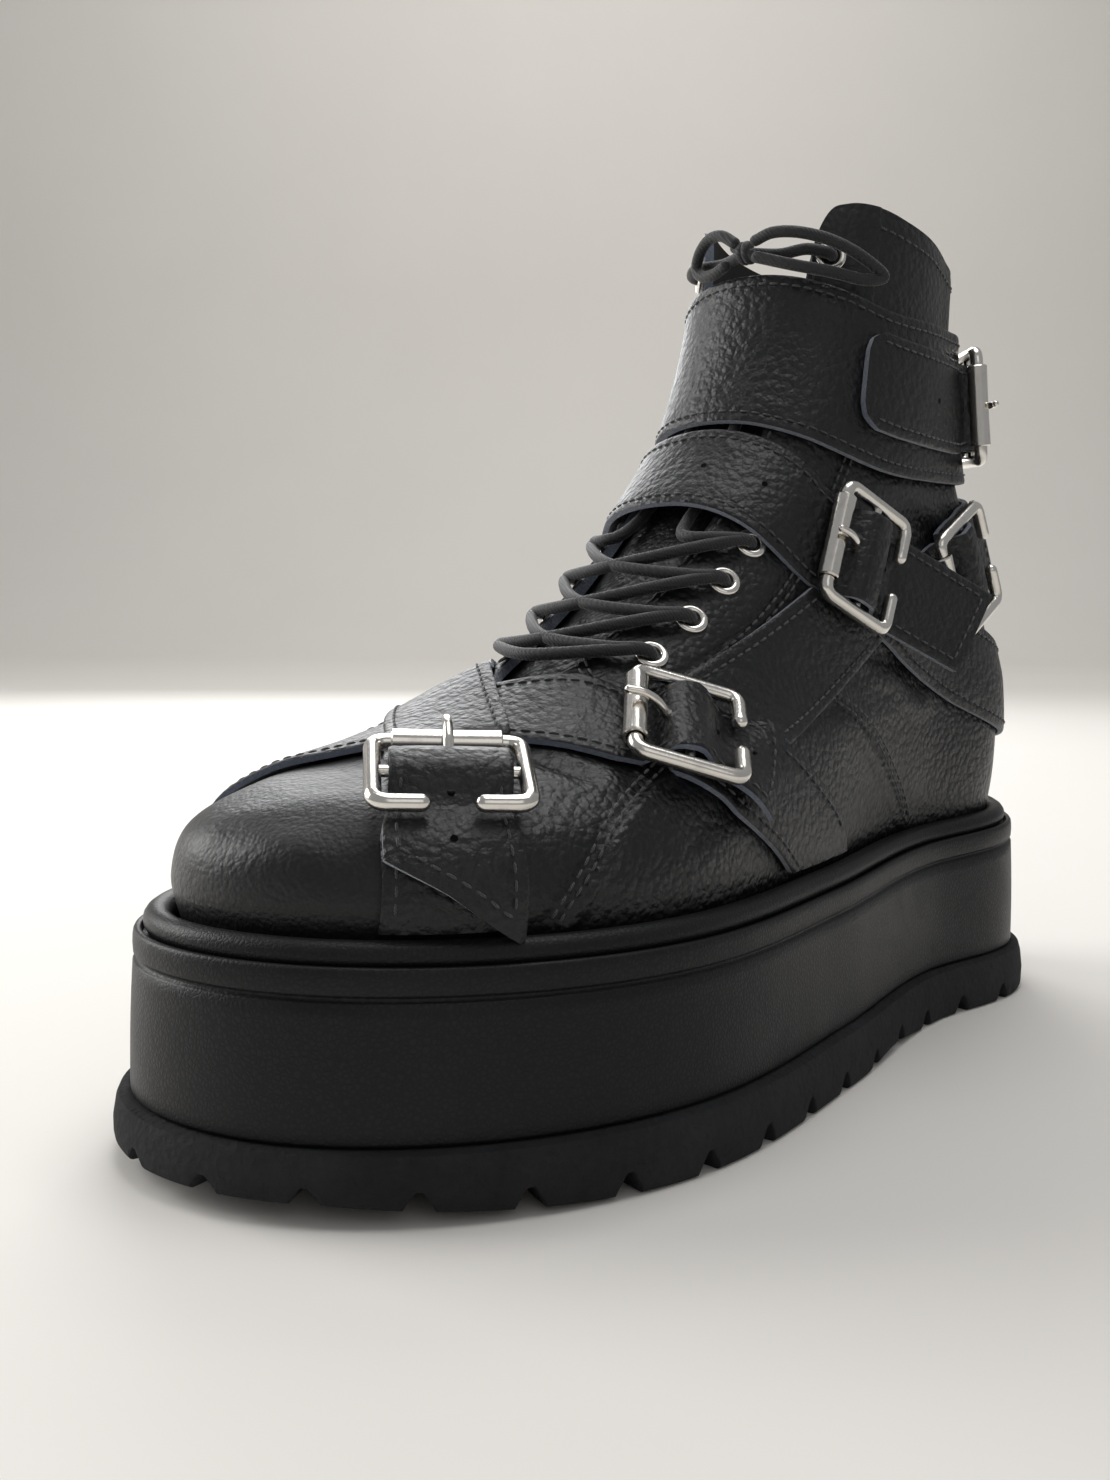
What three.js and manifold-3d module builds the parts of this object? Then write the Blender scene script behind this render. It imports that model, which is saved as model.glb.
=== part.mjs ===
import * as THREE from 'three';
import { mergeVertices } from 'three/addons/utils/BufferGeometryUtils.js';
import Module from 'manifold-3d';

const wasm = await Module();
wasm.setup();

// Platform boot, left foot. Toe to -Y, heel to +Y, outer side to +X, sole down.
// Driving sizes, millimetres.
const LAST_LENGTH = 271;      // toe to heel where the upper meets the sole
const BALL_WIDTH = 103;       // widest part of the last
const SHAFT_RISE = 170;       // welt to the highest row of the shaft
const INNER_SIDE = 0.95;      // inner side is this share of the outer side's width
const LAST_BOW = 5;           // sideways curve of the last's centre line
const WALL = 2.4;             // upper leather and lining
const CLEAR = 0.3;            // gap between neighbouring pieces
const STRAP_CLEAR = 0.6;      // straps lie this far off the curved upper
const VAMP_CLEAR = 0.2;       // and the vamp strap this much more, over the instep's ridge

// Heights of the platform's rim and of the tread line at toe, waist and heel.
const RIM = [47.5, 44.5, 51.5];
const TREAD_LINE = [13.8, 12.8, 13.6];
const RIM_REACH = 9.5;        // rim stands outside the upper
const SIDE_FLARE = 1.1;       // platform side leans out towards the tread
const TREAD_REACH = 4.6;      // tread stands outside the rim
const LIP = 1.6;              // wall of the rim's lip
const TROUGH = 2;             // depth inside the lip
const SIDE_GROOVE = 5.6;      // groove under the rim
const GROOVE_DEPTH = 0.8;
const WELT_RADIUS = 3;
const WELT_REACH = 4.6;
const INSOLE = 4.5;
const TOE_SPRING = 4.3;
const SPRING_SHARE = 0.28;    // share of the length that lifts at the toe
const ARCH_LIFT = 1.6;
const LUG = 5;                // depth of the tread pattern
const NOTCH_WIDTH = 6.4;
const NOTCH_PITCH = 21;
const TONGUE = 4;

const STRAP_WIDTH = 26;
const STRAP = 1.8;            // thickness of a strap
const THREADED_NARROWER = 2;  // a strap draws in where it rises through its buckle
const LOOSE_RISE = 0.13;      // a loose tip leans out of its buckle's plane
const CUFF_HEIGHT = 42;
const CUFF = 2;               // thickness of the cuff
const CUFF_CLEAR = 1;         // the cuff stands off the shaft
const BUCKLE_ACROSS = 33.5;
const BUCKLE_ALONG = 27.5;
const WIRE = 1.75;              // radius of the buckle's frame
const BAR = 1.2;              // radius of its centre bar and prong
const ROLLER = 0.7;           // wall of the roller
const KEEPER_GAP = 10;        // the frame is open here, over the strap's end
const EYELET = 4;             // outer radius of an eyelet's flange
const EYELET_HOLE = 2;
const EYELET_RIM = 0.9;       // height of the flange
const LACE = 1.5;             // radius of the lace

const AROUND = 48;            // points round each level of the last
const DEG = Math.PI / 180;

// Rows of the last from the welt to the collar, as shares: front point along LAST_LENGTH and
// up SHAFT_RISE, back point the same, then seven half widths of BALL_WIDTH from front to back.
const ROWS = [
  [0.000, 0.000, 1.000, 0.000, 0.38, 0.33, 0.50, 0.40, 0.270, 0.27, 0.25],
  [-0.007, 0.059, 1.009, 0.071, 0.40, 0.34, 0.51, 0.41, 0.290, 0.28, 0.26],
  [0.007, 0.118, 1.013, 0.153, 0.37, 0.315, 0.48, 0.40, 0.300, 0.28, 0.25],
  [0.061, 0.159, 1.011, 0.224, 0.33, 0.27, 0.42, 0.38, 0.300, 0.27, 0.24],
  [0.138, 0.188, 1.002, 0.294, 0.27, 0.24, 0.355, 0.355, 0.300, 0.26, 0.235],
  [0.227, 0.235, 0.987, 0.365, 0.24, 0.21, 0.315, 0.335, 0.300, 0.25, 0.225],
  [0.315, 0.309, 0.967, 0.435, 0.235, 0.195, 0.30, 0.325, 0.300, 0.24, 0.215],
  [0.397, 0.397, 0.941, 0.512, 0.235, 0.185, 0.295, 0.32, 0.295, 0.225, 0.215],
  [0.470, 0.500, 0.913, 0.594, 0.24, 0.175, 0.28, 0.31, 0.280, 0.205, 0.215],
  [0.533, 0.606, 0.895, 0.682, 0.25, 0.17, 0.27, 0.30, 0.270, 0.195, 0.225],
  [0.577, 0.729, 0.886, 0.776, 0.26, 0.165, 0.268, 0.30, 0.267, 0.19, 0.235],
  [0.603, 0.859, 0.884, 0.876, 0.27, 0.165, 0.272, 0.305, 0.270, 0.188, 0.245],
  [0.614, 1.000, 0.887, 1.000, 0.28, 0.165, 0.277, 0.31, 0.274, 0.19, 0.25],
];

// Catmull-Rom value between b and c.
const blend = (a, b, c, d, f) =>
  0.5 * (2 * b + (c - a) * f + (2 * a - 5 * b + 4 * c - d) * f * f + (3 * b - a - 3 * c + d) * f * f * f);

function rowAt(v) {
  const last = ROWS.length - 1;
  const x = Math.min(v, 1) * last;
  const i = THREE.MathUtils.clamp(Math.floor(x), 0, last - 1);
  const b = ROWS[i];
  const c = ROWS[i + 1];
  const a = ROWS[i - 1] ?? b.map((n, k) => 2 * n - c[k]);
  const d = ROWS[i + 2] ?? c.map((n, k) => 2 * n - b[k]);
  return b.map((n, k) => blend(a[k], n, c[k], d[k], x - i));
}

// A curve through toe, waist and heel values along the last.
function alongLast(values, y) {
  const t = (y + LAST_LENGTH / 2) / LAST_LENGTH;
  return values[0] * (1 - t) ** 2 + 2 * values[1] * t * (1 - t) + values[2] * t * t;
}
const rimHeight = (y) => alongLast(RIM, y);
const treadLine = (y) => alongLast(TREAD_LINE, y);
const SEAT_LIFT = 0.8;        // the rows start this far over the rim

// Point of the last's surface: round angle in radians, 0 at the front and outer side positive,
// and v from the welt, 0, to the highest row, 1.
function lastPoint(turn, v) {
  const angle = turn - 2 * Math.PI * Math.round(turn / (2 * Math.PI));
  const row = rowAt(v);
  const front = (row[0] - 0.5) * LAST_LENGTH;
  const back = (row[2] - 0.5) * LAST_LENGTH;
  const half = (back - front) / 2;
  const widths = row.slice(4).map((n) => n * BALL_WIDTH);
  const reach = widths.map((w, k) =>
    k === 0 || k === 6 ? Math.sqrt(w * half) : w / Math.sin(k * 30 * DEG));
  const a = Math.abs(angle);
  const x = Math.min(a / Math.PI, 1) * 6;
  const i = Math.min(Math.floor(x), 5);
  const at = (k) => reach[k < 0 ? -k : k > 6 ? 12 - k : k];
  const side = Math.sin(a) * blend(at(i - 1), at(i), at(i + 1), at(i + 2), x - i);
  const s = (1 - Math.cos(a)) / 2;
  const y = front + s * (back - front);
  const up = (row[1] + s * (row[3] - row[1])) * SHAFT_RISE;
  const t = THREE.MathUtils.clamp((y + LAST_LENGTH / 2) / LAST_LENGTH, -0.1, 1.1);
  const bow = LAST_BOW * (4 * t * (1 - t) - 0.5) * THREE.MathUtils.clamp(1 - up / 150, 0, 1);
  return new THREE.Vector3(
    bow + (angle < 0 ? -INNER_SIDE * side : side), y, up + rimHeight(y) + SEAT_LIFT);
}

const STEP = 1e-3;
function lastNormal(angle, v) {
  const v0 = v - STEP;
  const v1 = Math.min(v + STEP, 1);
  const across = lastPoint(angle + STEP, v).sub(lastPoint(angle - STEP, v));
  const up = lastPoint(angle, v1).sub(lastPoint(angle, v0));
  return across.cross(up).normalize();
}

const smooth = (x, from, to) => (from < to ? THREE.MathUtils.smoothstep(x, from, to)
  : 1 - THREE.MathUtils.smoothstep(x, to, from));
const COUNTER = 0.8;          // the heel counter is this much thicker
const QUARTER = 0.8;          // the quarter laps this far over the vamp
// Thickness of the overlays at a place on the last.
function relief(angle, v) {
  const turn = angle - 2 * Math.PI * Math.round(angle / (2 * Math.PI));
  const around = Math.abs(turn) / DEG;
  const counterEdge = 121 - 95 * v;
  const quarterEdge = 47 + 55 * v;
  const low = 1 - smooth(v, 0.27, 0.34);
  return COUNTER * smooth(around, counterEdge - 6, counterEdge + 6) * (1 - smooth(v, 0.33, 0.40))
    + QUARTER * smooth(around, quarterEdge - 6, quarterEdge + 6) * low;
}
const onLast = (angle, v, lift) =>
  lastPoint(angle, v).addScaledVector(lastNormal(angle, v), lift + (lift > -WALL / 2 ? relief(angle, v) : 0));

// The welt outline, offset outward.
function outline(angle, offset) {
  const p = lastPoint(angle, 0);
  const t = lastPoint(angle + STEP, 0).sub(lastPoint(angle - STEP, 0));
  const n = new THREE.Vector2(t.y, -t.x).normalize();
  return new THREE.Vector2(p.x + n.x * offset, p.y + n.y * offset);
}

const angles = Array.from({ length: AROUND }, (_, j) => -Math.PI + (2 * Math.PI * j) / AROUND);

function solidFrom(points, faces) {
  const geometry = new THREE.BufferGeometry();
  geometry.setAttribute('position',
    new THREE.Float32BufferAttribute(points.flatMap((p) => [p.x, p.y, p.z]), 3));
  let volume = 0;
  for (const [a, b, c] of faces) {
    volume += points[a].dot(new THREE.Vector3().crossVectors(points[b], points[c]));
  }
  geometry.setIndex(faces.flatMap(([a, b, c]) => (volume < 0 ? [a, c, b] : [a, b, c])));
  return geometry;
}

// Closed solid between an outer and an inner grid of points, rows by columns.
function slab(outer, inner, loop = false) {
  const rows = outer.length;
  const cols = outer[0].length;
  const points = [...outer.flat(), ...inner.flat()];
  const id = (side, i, j) => side * rows * cols + i * cols + (j % cols);
  const faces = [];
  const quad = (a, b, c, d) => faces.push([a, b, c], [a, c, d]);
  const spans = loop ? cols : cols - 1;
  for (let i = 0; i < rows - 1; i += 1) {
    for (let j = 0; j < spans; j += 1) {
      quad(id(0, i, j), id(0, i, j + 1), id(0, i + 1, j + 1), id(0, i + 1, j));
      quad(id(1, i, j), id(1, i + 1, j), id(1, i + 1, j + 1), id(1, i, j + 1));
    }
    if (!loop) {
      quad(id(0, i, 0), id(0, i + 1, 0), id(1, i + 1, 0), id(1, i, 0));
      quad(id(0, i, spans), id(1, i, spans), id(1, i + 1, spans), id(0, i + 1, spans));
    }
  }
  for (let j = 0; j < spans; j += 1) {
    quad(id(0, 0, j), id(1, 0, j), id(1, 0, j + 1), id(0, 0, j + 1));
    quad(id(0, rows - 1, j), id(0, rows - 1, j + 1), id(1, rows - 1, j + 1), id(1, rows - 1, j));
  }
  return solidFrom(points, faces);
}

// Closed stack of level loops, capped by strips that join equal angles of both sides.
function stack(levels) {
  const cols = levels[0].length;
  const faces = [];
  const id = (i, j) => i * cols + (j % cols);
  for (let i = 0; i < levels.length - 1; i += 1) {
    for (let j = 0; j < cols; j += 1) {
      faces.push([id(i, j), id(i, j + 1), id(i + 1, j + 1)], [id(i, j), id(i + 1, j + 1), id(i + 1, j)]);
    }
  }
  for (const [i, flip] of [[0, true], [levels.length - 1, false]]) {
    for (let k = 0; k < cols / 2; k += 1) {
      const quad = [id(i, k), id(i, k + 1), id(i, cols - k - 1), id(i, cols - k)];
      const cut = [[quad[0], quad[1], quad[2]], [quad[0], quad[2], quad[3]]]
        .filter((f) => new Set(f).size === 3);
      for (const f of cut) faces.push(flip ? [f[0], f[2], f[1]] : f);
    }
  }
  return solidFrom(levels.flat(), faces);
}

// One level of the sole: an offset of the welt outline at a height that may vary along it.
const level = (offset, height) => angles.map((a) => {
  const p = outline(a, offset);
  return new THREE.Vector3(p.x, p.y, typeof height === 'function' ? height(p.y) : height);
});

function toSolid(geometry) {
  const bare = geometry.clone();
  bare.deleteAttribute('normal');
  bare.deleteAttribute('uv');
  const merged = mergeVertices(bare, 1e-4);
  return new wasm.Manifold(new wasm.Mesh({
    numProp: 3,
    vertProperties: new Float32Array(merged.attributes.position.array),
    triVerts: new Uint32Array(merged.index.array),
  }));
}

function toGeometry(solid) {
  const mesh = solid.getMesh();
  const geometry = new THREE.BufferGeometry();
  geometry.setAttribute('position', new THREE.BufferAttribute(new Float32Array(mesh.vertProperties), 3));
  geometry.setIndex(new THREE.BufferAttribute(new Uint32Array(mesh.triVerts), 1));
  return geometry;
}

const largest = (solid) => solid.decompose().sort((a, b) => b.volume() - a.volume())[0];
const joined = (solids) => solids.reduce((all, one) => all.add(one));

const boot = new THREE.Group();
function piece(name, geometry, material) {
  const flat = geometry.index ? geometry.toNonIndexed() : geometry;
  flat.computeVertexNormals();
  const mesh = new THREE.Mesh(flat, material);
  mesh.name = name;
  boot.add(mesh);
  return mesh;
}

const finish = (color, roughness, metalness = 0) =>
  new THREE.MeshStandardMaterial({ color, roughness, metalness });
const blackLeather = finish(0x17181a, 0.45);
const satinRubber = finish(0x141517, 0.5);
const treadRubber = finish(0x222326, 0.85);
const liningLeather = finish(0x2a2826, 0.75);
const nickel = finish(0xb9b4aa, 0.22, 1);
const laceCotton = finish(0x121316, 0.8);

// Sole

function outsole() {
  const reach = RIM_REACH + TREAD_REACH;
  const top = (y) => treadLine(y);
  const body = toSolid(stack([
    level(reach - 1.2, 0),
    level(reach - 0.2, 1.2),
    level(reach, LUG + 1),
    level(reach - 0.6, (y) => top(y) - 2.5),
    level(reach - 3, top),
  ]));
  const perimeter = angles.reduce((sum, a, j) =>
    sum + outline(a, reach).distanceTo(outline(angles[(j + 1) % AROUND], reach)), 0);
  const count = Math.round(perimeter / NOTCH_PITCH);
  const cuts = [];
  const shape = new THREE.Shape([
    new THREE.Vector2(-NOTCH_WIDTH / 2, -1), new THREE.Vector2(NOTCH_WIDTH / 2, -1),
    new THREE.Vector2(0.7, LUG), new THREE.Vector2(-0.7, LUG),
  ]);
  // Notches at even steps round the edge.
  let travelled = 0;
  let placed = 0;
  const fine = 720;
  for (let k = 0; k < fine && placed < count; k += 1) {
    const a = -Math.PI + (2 * Math.PI * k) / fine;
    const here = outline(a, reach);
    const next = outline(a + (2 * Math.PI) / fine, reach);
    if (travelled >= (placed + 0.5) * (perimeter / count)) {
      const inward = outline(a, reach - 10).sub(here).normalize();
      const wedge = new THREE.ExtrudeGeometry(shape, { depth: 20, bevelEnabled: false });
      const along = new THREE.Vector3(inward.x, inward.y, 0);
      const up = new THREE.Vector3(0, 0, 1);
      const side = new THREE.Vector3().crossVectors(up, along);
      wedge.applyMatrix4(new THREE.Matrix4().makeBasis(side, up, along)
        .setPosition(here.x - inward.x * 3, here.y - inward.y * 3, 0));
      cuts.push(toSolid(wedge));
      placed += 1;
    }
    travelled += here.distanceTo(next);
  }
  // A channel follows the edge lugs, and bars with a middle channel fill the field inside it.
  const deep = LUG - 0.5;
  const ring = (offset) => toSolid(stack([level(offset, -1), level(offset, deep)]));
  const channel = ring(reach - 15).subtract(ring(reach - 18.5));
  const field = ring(reach - 16);
  const slots = [];
  for (let y = -LAST_LENGTH / 2 + 12; y < LAST_LENGTH / 2 - 8; y += 19) {
    const slot = new THREE.BoxGeometry(BALL_WIDTH * 1.3, 4, deep + 1);
    slot.translate(0, y, (deep - 1) / 2);
    slots.push(toSolid(slot));
  }
  const cut = body.subtract(joined(cuts)).subtract(channel).subtract(joined(slots).intersect(field));
  const geometry = toGeometry(cut);
  const pos = geometry.attributes.position;
  for (let k = 0; k < pos.count; k += 1) {
    const y = pos.getY(k);
    const z = pos.getZ(k);
    const share = THREE.MathUtils.clamp(1 - z / top(y), 0, 1);
    const t = (y + LAST_LENGTH / 2) / LAST_LENGTH;
    const toe = TOE_SPRING * Math.max(0, 1 - Math.max(t, 0) / SPRING_SHARE) ** 2;
    const waist = ARCH_LIFT * Math.max(0, Math.cos(THREE.MathUtils.clamp((t - 0.63) / 0.09, -1, 1) * 90 * DEG)) ** 2;
    pos.setZ(k, z + (toe + waist) * share);
  }
  return geometry;
}

function midsole() {
  const reach = RIM_REACH;
  const foot = reach + SIDE_FLARE;
  const bottom = (y) => treadLine(y) + CLEAR;
  const rim = (drop) => (y) => rimHeight(y) - drop;
  return stack([
    level(foot - 0.6, bottom),
    level(foot, (y) => bottom(y) + 0.8),
    level(reach + 0.25, rim(SIDE_GROOVE + 1.3)),
    level(reach + 0.1 - GROOVE_DEPTH, rim(SIDE_GROOVE + 0.3)),
    level(reach + 0.1, rim(SIDE_GROOVE - 0.7)),
    level(reach, rim(0.7)),
    level(reach - 0.6, rim(0)),
    level(reach - LIP, rim(0)),
    level(reach - LIP, rim(TROUGH)),
  ]);
}

// Round bead in the trough round the upper.
function welt() {
  const steps = 8;
  const rings = Array.from({ length: steps }, (_, k) => {
    const turn = (2 * Math.PI * k) / steps;
    return level(WELT_REACH + WELT_RADIUS * Math.cos(turn),
      (y) => rimHeight(y) - TROUGH + CLEAR + WELT_RADIUS * (1 + Math.sin(turn)));
  });
  const points = rings.flat();
  const faces = [];
  const id = (i, j) => (i % steps) * AROUND + (j % AROUND);
  for (let i = 0; i < steps; i += 1) {
    for (let j = 0; j < AROUND; j += 1) {
      faces.push([id(i, j), id(i, j + 1), id(i + 1, j + 1)], [id(i, j), id(i + 1, j + 1), id(i + 1, j)]);
    }
  }
  return solidFrom(points, faces);
}

function insole() {
  const floor = (y) => rimHeight(y) - TROUGH + CLEAR;
  const edge = -(WALL + 0.6);
  return stack([level(edge, floor), level(edge, (y) => floor(y) + INSOLE)]);
}

// Upper

// Eyelets of one side, from the lowest: degrees round and v.
const EYELETS = [[35, 0.50], [38, 0.545], [40, 0.592], [42, 0.636], [40, 0.948]];

// Places a solid made along Y on the last, with Y out of the leather.
function standing(angle, v) {
  const out = lastNormal(angle, v);
  const side = new THREE.Vector3(0, 0, 1).cross(out).normalize();
  return new THREE.Matrix4().makeBasis(side, out, side.clone().cross(out))
    .setPosition(onLast(angle, v, 0));
}

// Top line of the collar: v against the round angle in degrees, the same on both sides.
const COLLAR = [[0, 0.90], [30, 0.935], [33, 0.965], [38, 0.988], [46, 0.995], [60, 0.994], [80, 0.983],
  [100, 0.972], [130, 0.955], [160, 0.945], [180, 0.942]];
// Edge of the throat: angle in degrees against v.
const THROAT = [[0.475, 8], [0.50, 15], [0.54, 17], [0.58, 20], [0.64, 23], [0.72, 25], [0.80, 27],
  [0.88, 29], [0.935, 30.5], [1.05, 30.5]];

function between(table, x) {
  const i = Math.max(1, table.findIndex(([k]) => k >= x));
  const [x0, y0] = table[i - 1];
  const [x1, y1] = table[i];
  return y0 + (y1 - y0) * THREE.MathUtils.clamp((x - x0) / (x1 - x0), 0, 1);
}
const collarLine = (angle) => between(COLLAR, Math.abs(angle) / DEG);

const UPPER_ROWS = 16;
function upper() {
  const grid = (lift) => {
    const rows = [angles.map((a) => {
      const p = onLast(a, 0, 0);
      const q = outline(a, lift);
      return new THREE.Vector3(q.x, q.y, rimHeight(p.y) - TROUGH + CLEAR);
    })];
    for (let i = 0; i <= UPPER_ROWS; i += 1) {
      rows.push(angles.map((a) => {
        const v = (i / UPPER_ROWS) * collarLine(a);
        return i === 0 ? new THREE.Vector3(...outline(a, lift), lastPoint(a, 0).z) : onLast(a, v, lift);
      }));
    }
    return rows;
  };
  const shell = toSolid(slab(grid(0), grid(-WALL), true));
  const wedgeGrid = (lift) => THROAT.map(([v, edge]) =>
    Array.from({ length: 9 }, (_, j) => {
      const a = ((j / 4) - 1) * edge * DEG;
      const p = onLast(a, Math.min(v, 1), lift);
      if (v > 1) p.z += 12;
      return p;
    }));
  const throat = toSolid(slab(wedgeGrid(6), wedgeGrid(-8)));
  const holes = EYELETS.flatMap((at) => [1, -1].map((side) => {
    const hole = new THREE.CylinderGeometry(EYELET_HOLE + 1, EYELET_HOLE + 1, WALL * 4, 6);
    return toSolid(hole.applyMatrix4(standing(at[0] * side * DEG, at[1])));
  }));
  return toGeometry(shell.subtract(throat).subtract(joined(holes)));
}

function tongue() {
  const grid = (lift) => Array.from({ length: 11 }, (_, i) => {
    const v = 0.42 + (0.925 - 0.42) * (i / 10);
    const half = 30 + 14 * (i / 10);
    return Array.from({ length: 9 }, (_, j) => onLast((j / 4 - 1) * half * DEG, v, lift));
  });
  const outer = -(WALL + STRAP_CLEAR + 0.1);
  return slab(grid(outer), grid(outer - TONGUE));
}


// Straps

// A route on the last through points of degrees round and v. marks are the lengths at the points.
function route(points) {
  const curve = new THREE.CatmullRomCurve3(
    points.map(([d, v]) => new THREE.Vector3(d / 100, v, 0)), false, 'centripetal');
  const per = 14;
  const places = [];
  for (let k = 0; k <= per * (points.length - 1); k += 1) {
    const p = curve.getPoint(k / (per * (points.length - 1)));
    places.push([p.x * 100 * DEG, p.y]);
  }
  const lengths = [0];
  for (let k = 1; k < places.length; k += 1) {
    lengths.push(lengths[k - 1] + lastPoint(...places[k]).distanceTo(lastPoint(...places[k - 1])));
  }
  const at = (s) => {
    let k = lengths.findIndex((l) => l >= s);
    k = k < 0 ? lengths.length - 1 : Math.max(k, 1);
    const f = (s - lengths[k - 1]) / (lengths[k] - lengths[k - 1]);
    return places[k].map((n, i) => places[k - 1][i] + f * (n - places[k - 1][i]));
  };
  return { at, marks: points.map((_, k) => lengths[k * per]), end: lengths.at(-1) };
}

// Walks a distance over the last from a place, in a heading, and gives the new place.
function walk([angle, v], heading, distance) {
  const steps = Math.max(1, Math.ceil(Math.abs(distance) / 3));
  const dir = heading.clone();
  for (let k = 0; k < steps; k += 1) {
    const round = lastPoint(angle + STEP, v).sub(lastPoint(angle - STEP, v)).divideScalar(2 * STEP);
    const up = lastPoint(angle, v + STEP).sub(lastPoint(angle, v - STEP)).divideScalar(2 * STEP);
    const out = round.clone().cross(up).normalize();
    dir.addScaledVector(out, -dir.dot(out)).normalize();
    const rr = round.dot(round);
    const ru = round.dot(up);
    const uu = up.dot(up);
    const dr = round.dot(dir);
    const du = up.dot(dir);
    const scale = distance / steps / (rr * uu - ru * ru);
    angle += scale * (dr * uu - du * ru);
    v += scale * (rr * du - ru * dr);
  }
  return [angle, v];
}

// Directions at a length of a route: along it, out of the leather and across it.
function heading(path, s) {
  const along = lastPoint(...path.at(s + 1)).sub(lastPoint(...path.at(s - 1))).normalize();
  const out = lastNormal(...path.at(s));
  return { along, out, across: out.clone().cross(along).normalize() };
}

const placeOn = (path, s, aside) => walk(path.at(s), heading(path, s).across, aside);
const steady = (value) => (typeof value === 'function' ? value : () => value);

// A strap along a route. from and to may vary across it, from -1 to 1, and lift along it.
// Its rows fall on even steps of the route and at the buckle, so that layers on one route match.
// Past the keeper of a loose seat the strap goes straight on in the buckle's plane.
function strap(path, { from = 0, to = path.end, width = STRAP_WIDTH, thick = STRAP, lift = STRAP_CLEAR,
  pitch = 7, columns = 4, buckle = null, loose = null }) {
  const start = steady(from);
  const stop = steady(to);
  const rise = steady(lift);
  const fixed = buckle === null ? [] : [-8.5, -2, 2, 10].map((d) => buckle + d);
  const even = Array.from({ length: Math.ceil(path.end / pitch) }, (_, k) => (k + 1) * pitch)
    .filter((x) => buckle === null || Math.abs(x - buckle) > 12);
  const inside = [...fixed, ...even].filter((x) => x > start(0) + 1.5 && x < stop(0) - 1.5);
  const rows = [start(0), ...inside.sort((x, y) => x - y), stop(0)];
  const zone = 22;
  const shifted = (x, a) => x + (start(a) - start(0)) * Math.max(0, 1 - (x - start(0)) / zone)
    + (stop(a) - stop(0)) * Math.max(0, 1 - (stop(0) - x) / zone);
  const grid = (extra) => rows.map((row) =>
    Array.from({ length: columns + 1 }, (_, j) => {
      const a = (2 * j) / columns - 1;
      const s = shifted(row, a);
      const narrow = buckle === null ? 0 : THREADED_NARROWER * smooth(Math.abs(s - buckle), 14, 9);
      const p = onLast(...placeOn(path, s, (a * (width - narrow)) / 2), rise(s) + extra);
      if (loose === null || s < loose.s + 10) return p;
      const under = -(STRAP + CLEAR + WIRE + 0.6) + LOOSE_RISE * (s - loose.s - 10) + extra;
      const held = new THREE.Vector3((-a * width) / 2, s - loose.s, under).applyMatrix4(loose.basis);
      return p.lerp(held, smooth(s, loose.s + 10, loose.s + 17));
    }));
  return slab(grid(thick), grid(0));
}

// Length on a path where it comes nearest to another path.
function crossing(path, other) {
  const lengths = (line) => Array.from({ length: 121 }, (_, k) => (k / 120) * line.end);
  const spots = lengths(other).map((s) => lastPoint(...other.at(s)));
  const gap = (s) => Math.min(...spots.map((p) => p.distanceTo(lastPoint(...path.at(s)))));
  return lengths(path).reduce((best, s) => (gap(s) < gap(best) ? s : best));
}

// Length of the route where its line at a distance aside comes down to the welt.
const WELT_V = 0.04;
function downTo(path, low, high, aside) {
  let [a, b] = [low, high];
  for (let k = 0; k < 24; k += 1) {
    const m = (a + b) / 2;
    if (placeOn(path, m, aside)[1] > WELT_V) a = m; else b = m;
  }
  return (a + b) / 2;
}

function tubeAlong(curve, radius, sides, steps) {
  const shape = new THREE.Shape(Array.from({ length: sides }, (_, k) => new THREE.Vector2(
    radius * Math.cos((2 * Math.PI * k) / sides), radius * Math.sin((2 * Math.PI * k) / sides))));
  return new THREE.ExtrudeGeometry(shape, { steps, extrudePath: curve, bevelEnabled: false });
}
const tube = (points, radius, sides, steps) =>
  tubeAlong(new THREE.CatmullRomCurve3(points, false, 'centripetal'), radius, sides, steps);

// A buckle's seat: its plane rests on the strap's way in, its bar and its way out.
function buckleSeat(path, s, base = STRAP_CLEAR, raise = 0) {
  const reach = BUCKLE_ALONG / 2 - WIRE;
  const rollerLift = base + STRAP + CLEAR + WIRE + CLEAR + ROLLER + 0.6 + raise;
  const keeperLift = base + 2 * STRAP + 2 * CLEAR + WIRE + 0.6 + raise;
  const a = onLast(...path.at(s - reach), rollerLift);
  const b = onLast(...path.at(s + reach), keeperLift);
  const along = b.clone().sub(a).normalize();
  const across = heading(path, s).across;
  const out = along.clone().cross(across).normalize();
  across.crossVectors(along, out).normalize();
  const centre = a.add(b).multiplyScalar(0.5);
  const foot = onLast(...path.at(s), 0);
  const least = base + STRAP + CLEAR + BAR + 0.2;
  const height = centre.clone().sub(foot).dot(out);
  centre.addScaledVector(out, Math.max(0, least - height));
  return { s, base, reach, basis: new THREE.Matrix4().makeBasis(across, along, out).setPosition(centre),
    bar: Math.max(height, least) };
}

// Height of the strap's end side over the last: under the roller, over the bar, over the anchor.
function threaded(seat, spare = 0) {
  const { s, base, bar } = seat;
  const over = bar + BAR + CLEAR + spare;
  const layer = base + STRAP + CLEAR;
  const knots = [[s - 8.5, base], [s - 2, over], [s + 2, over], [s + 10, layer]];
  return (x) => {
    if (x <= knots[0][0]) return base;
    if (x >= knots[3][0]) return layer;
    return between(knots, x);
  };
}

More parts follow.
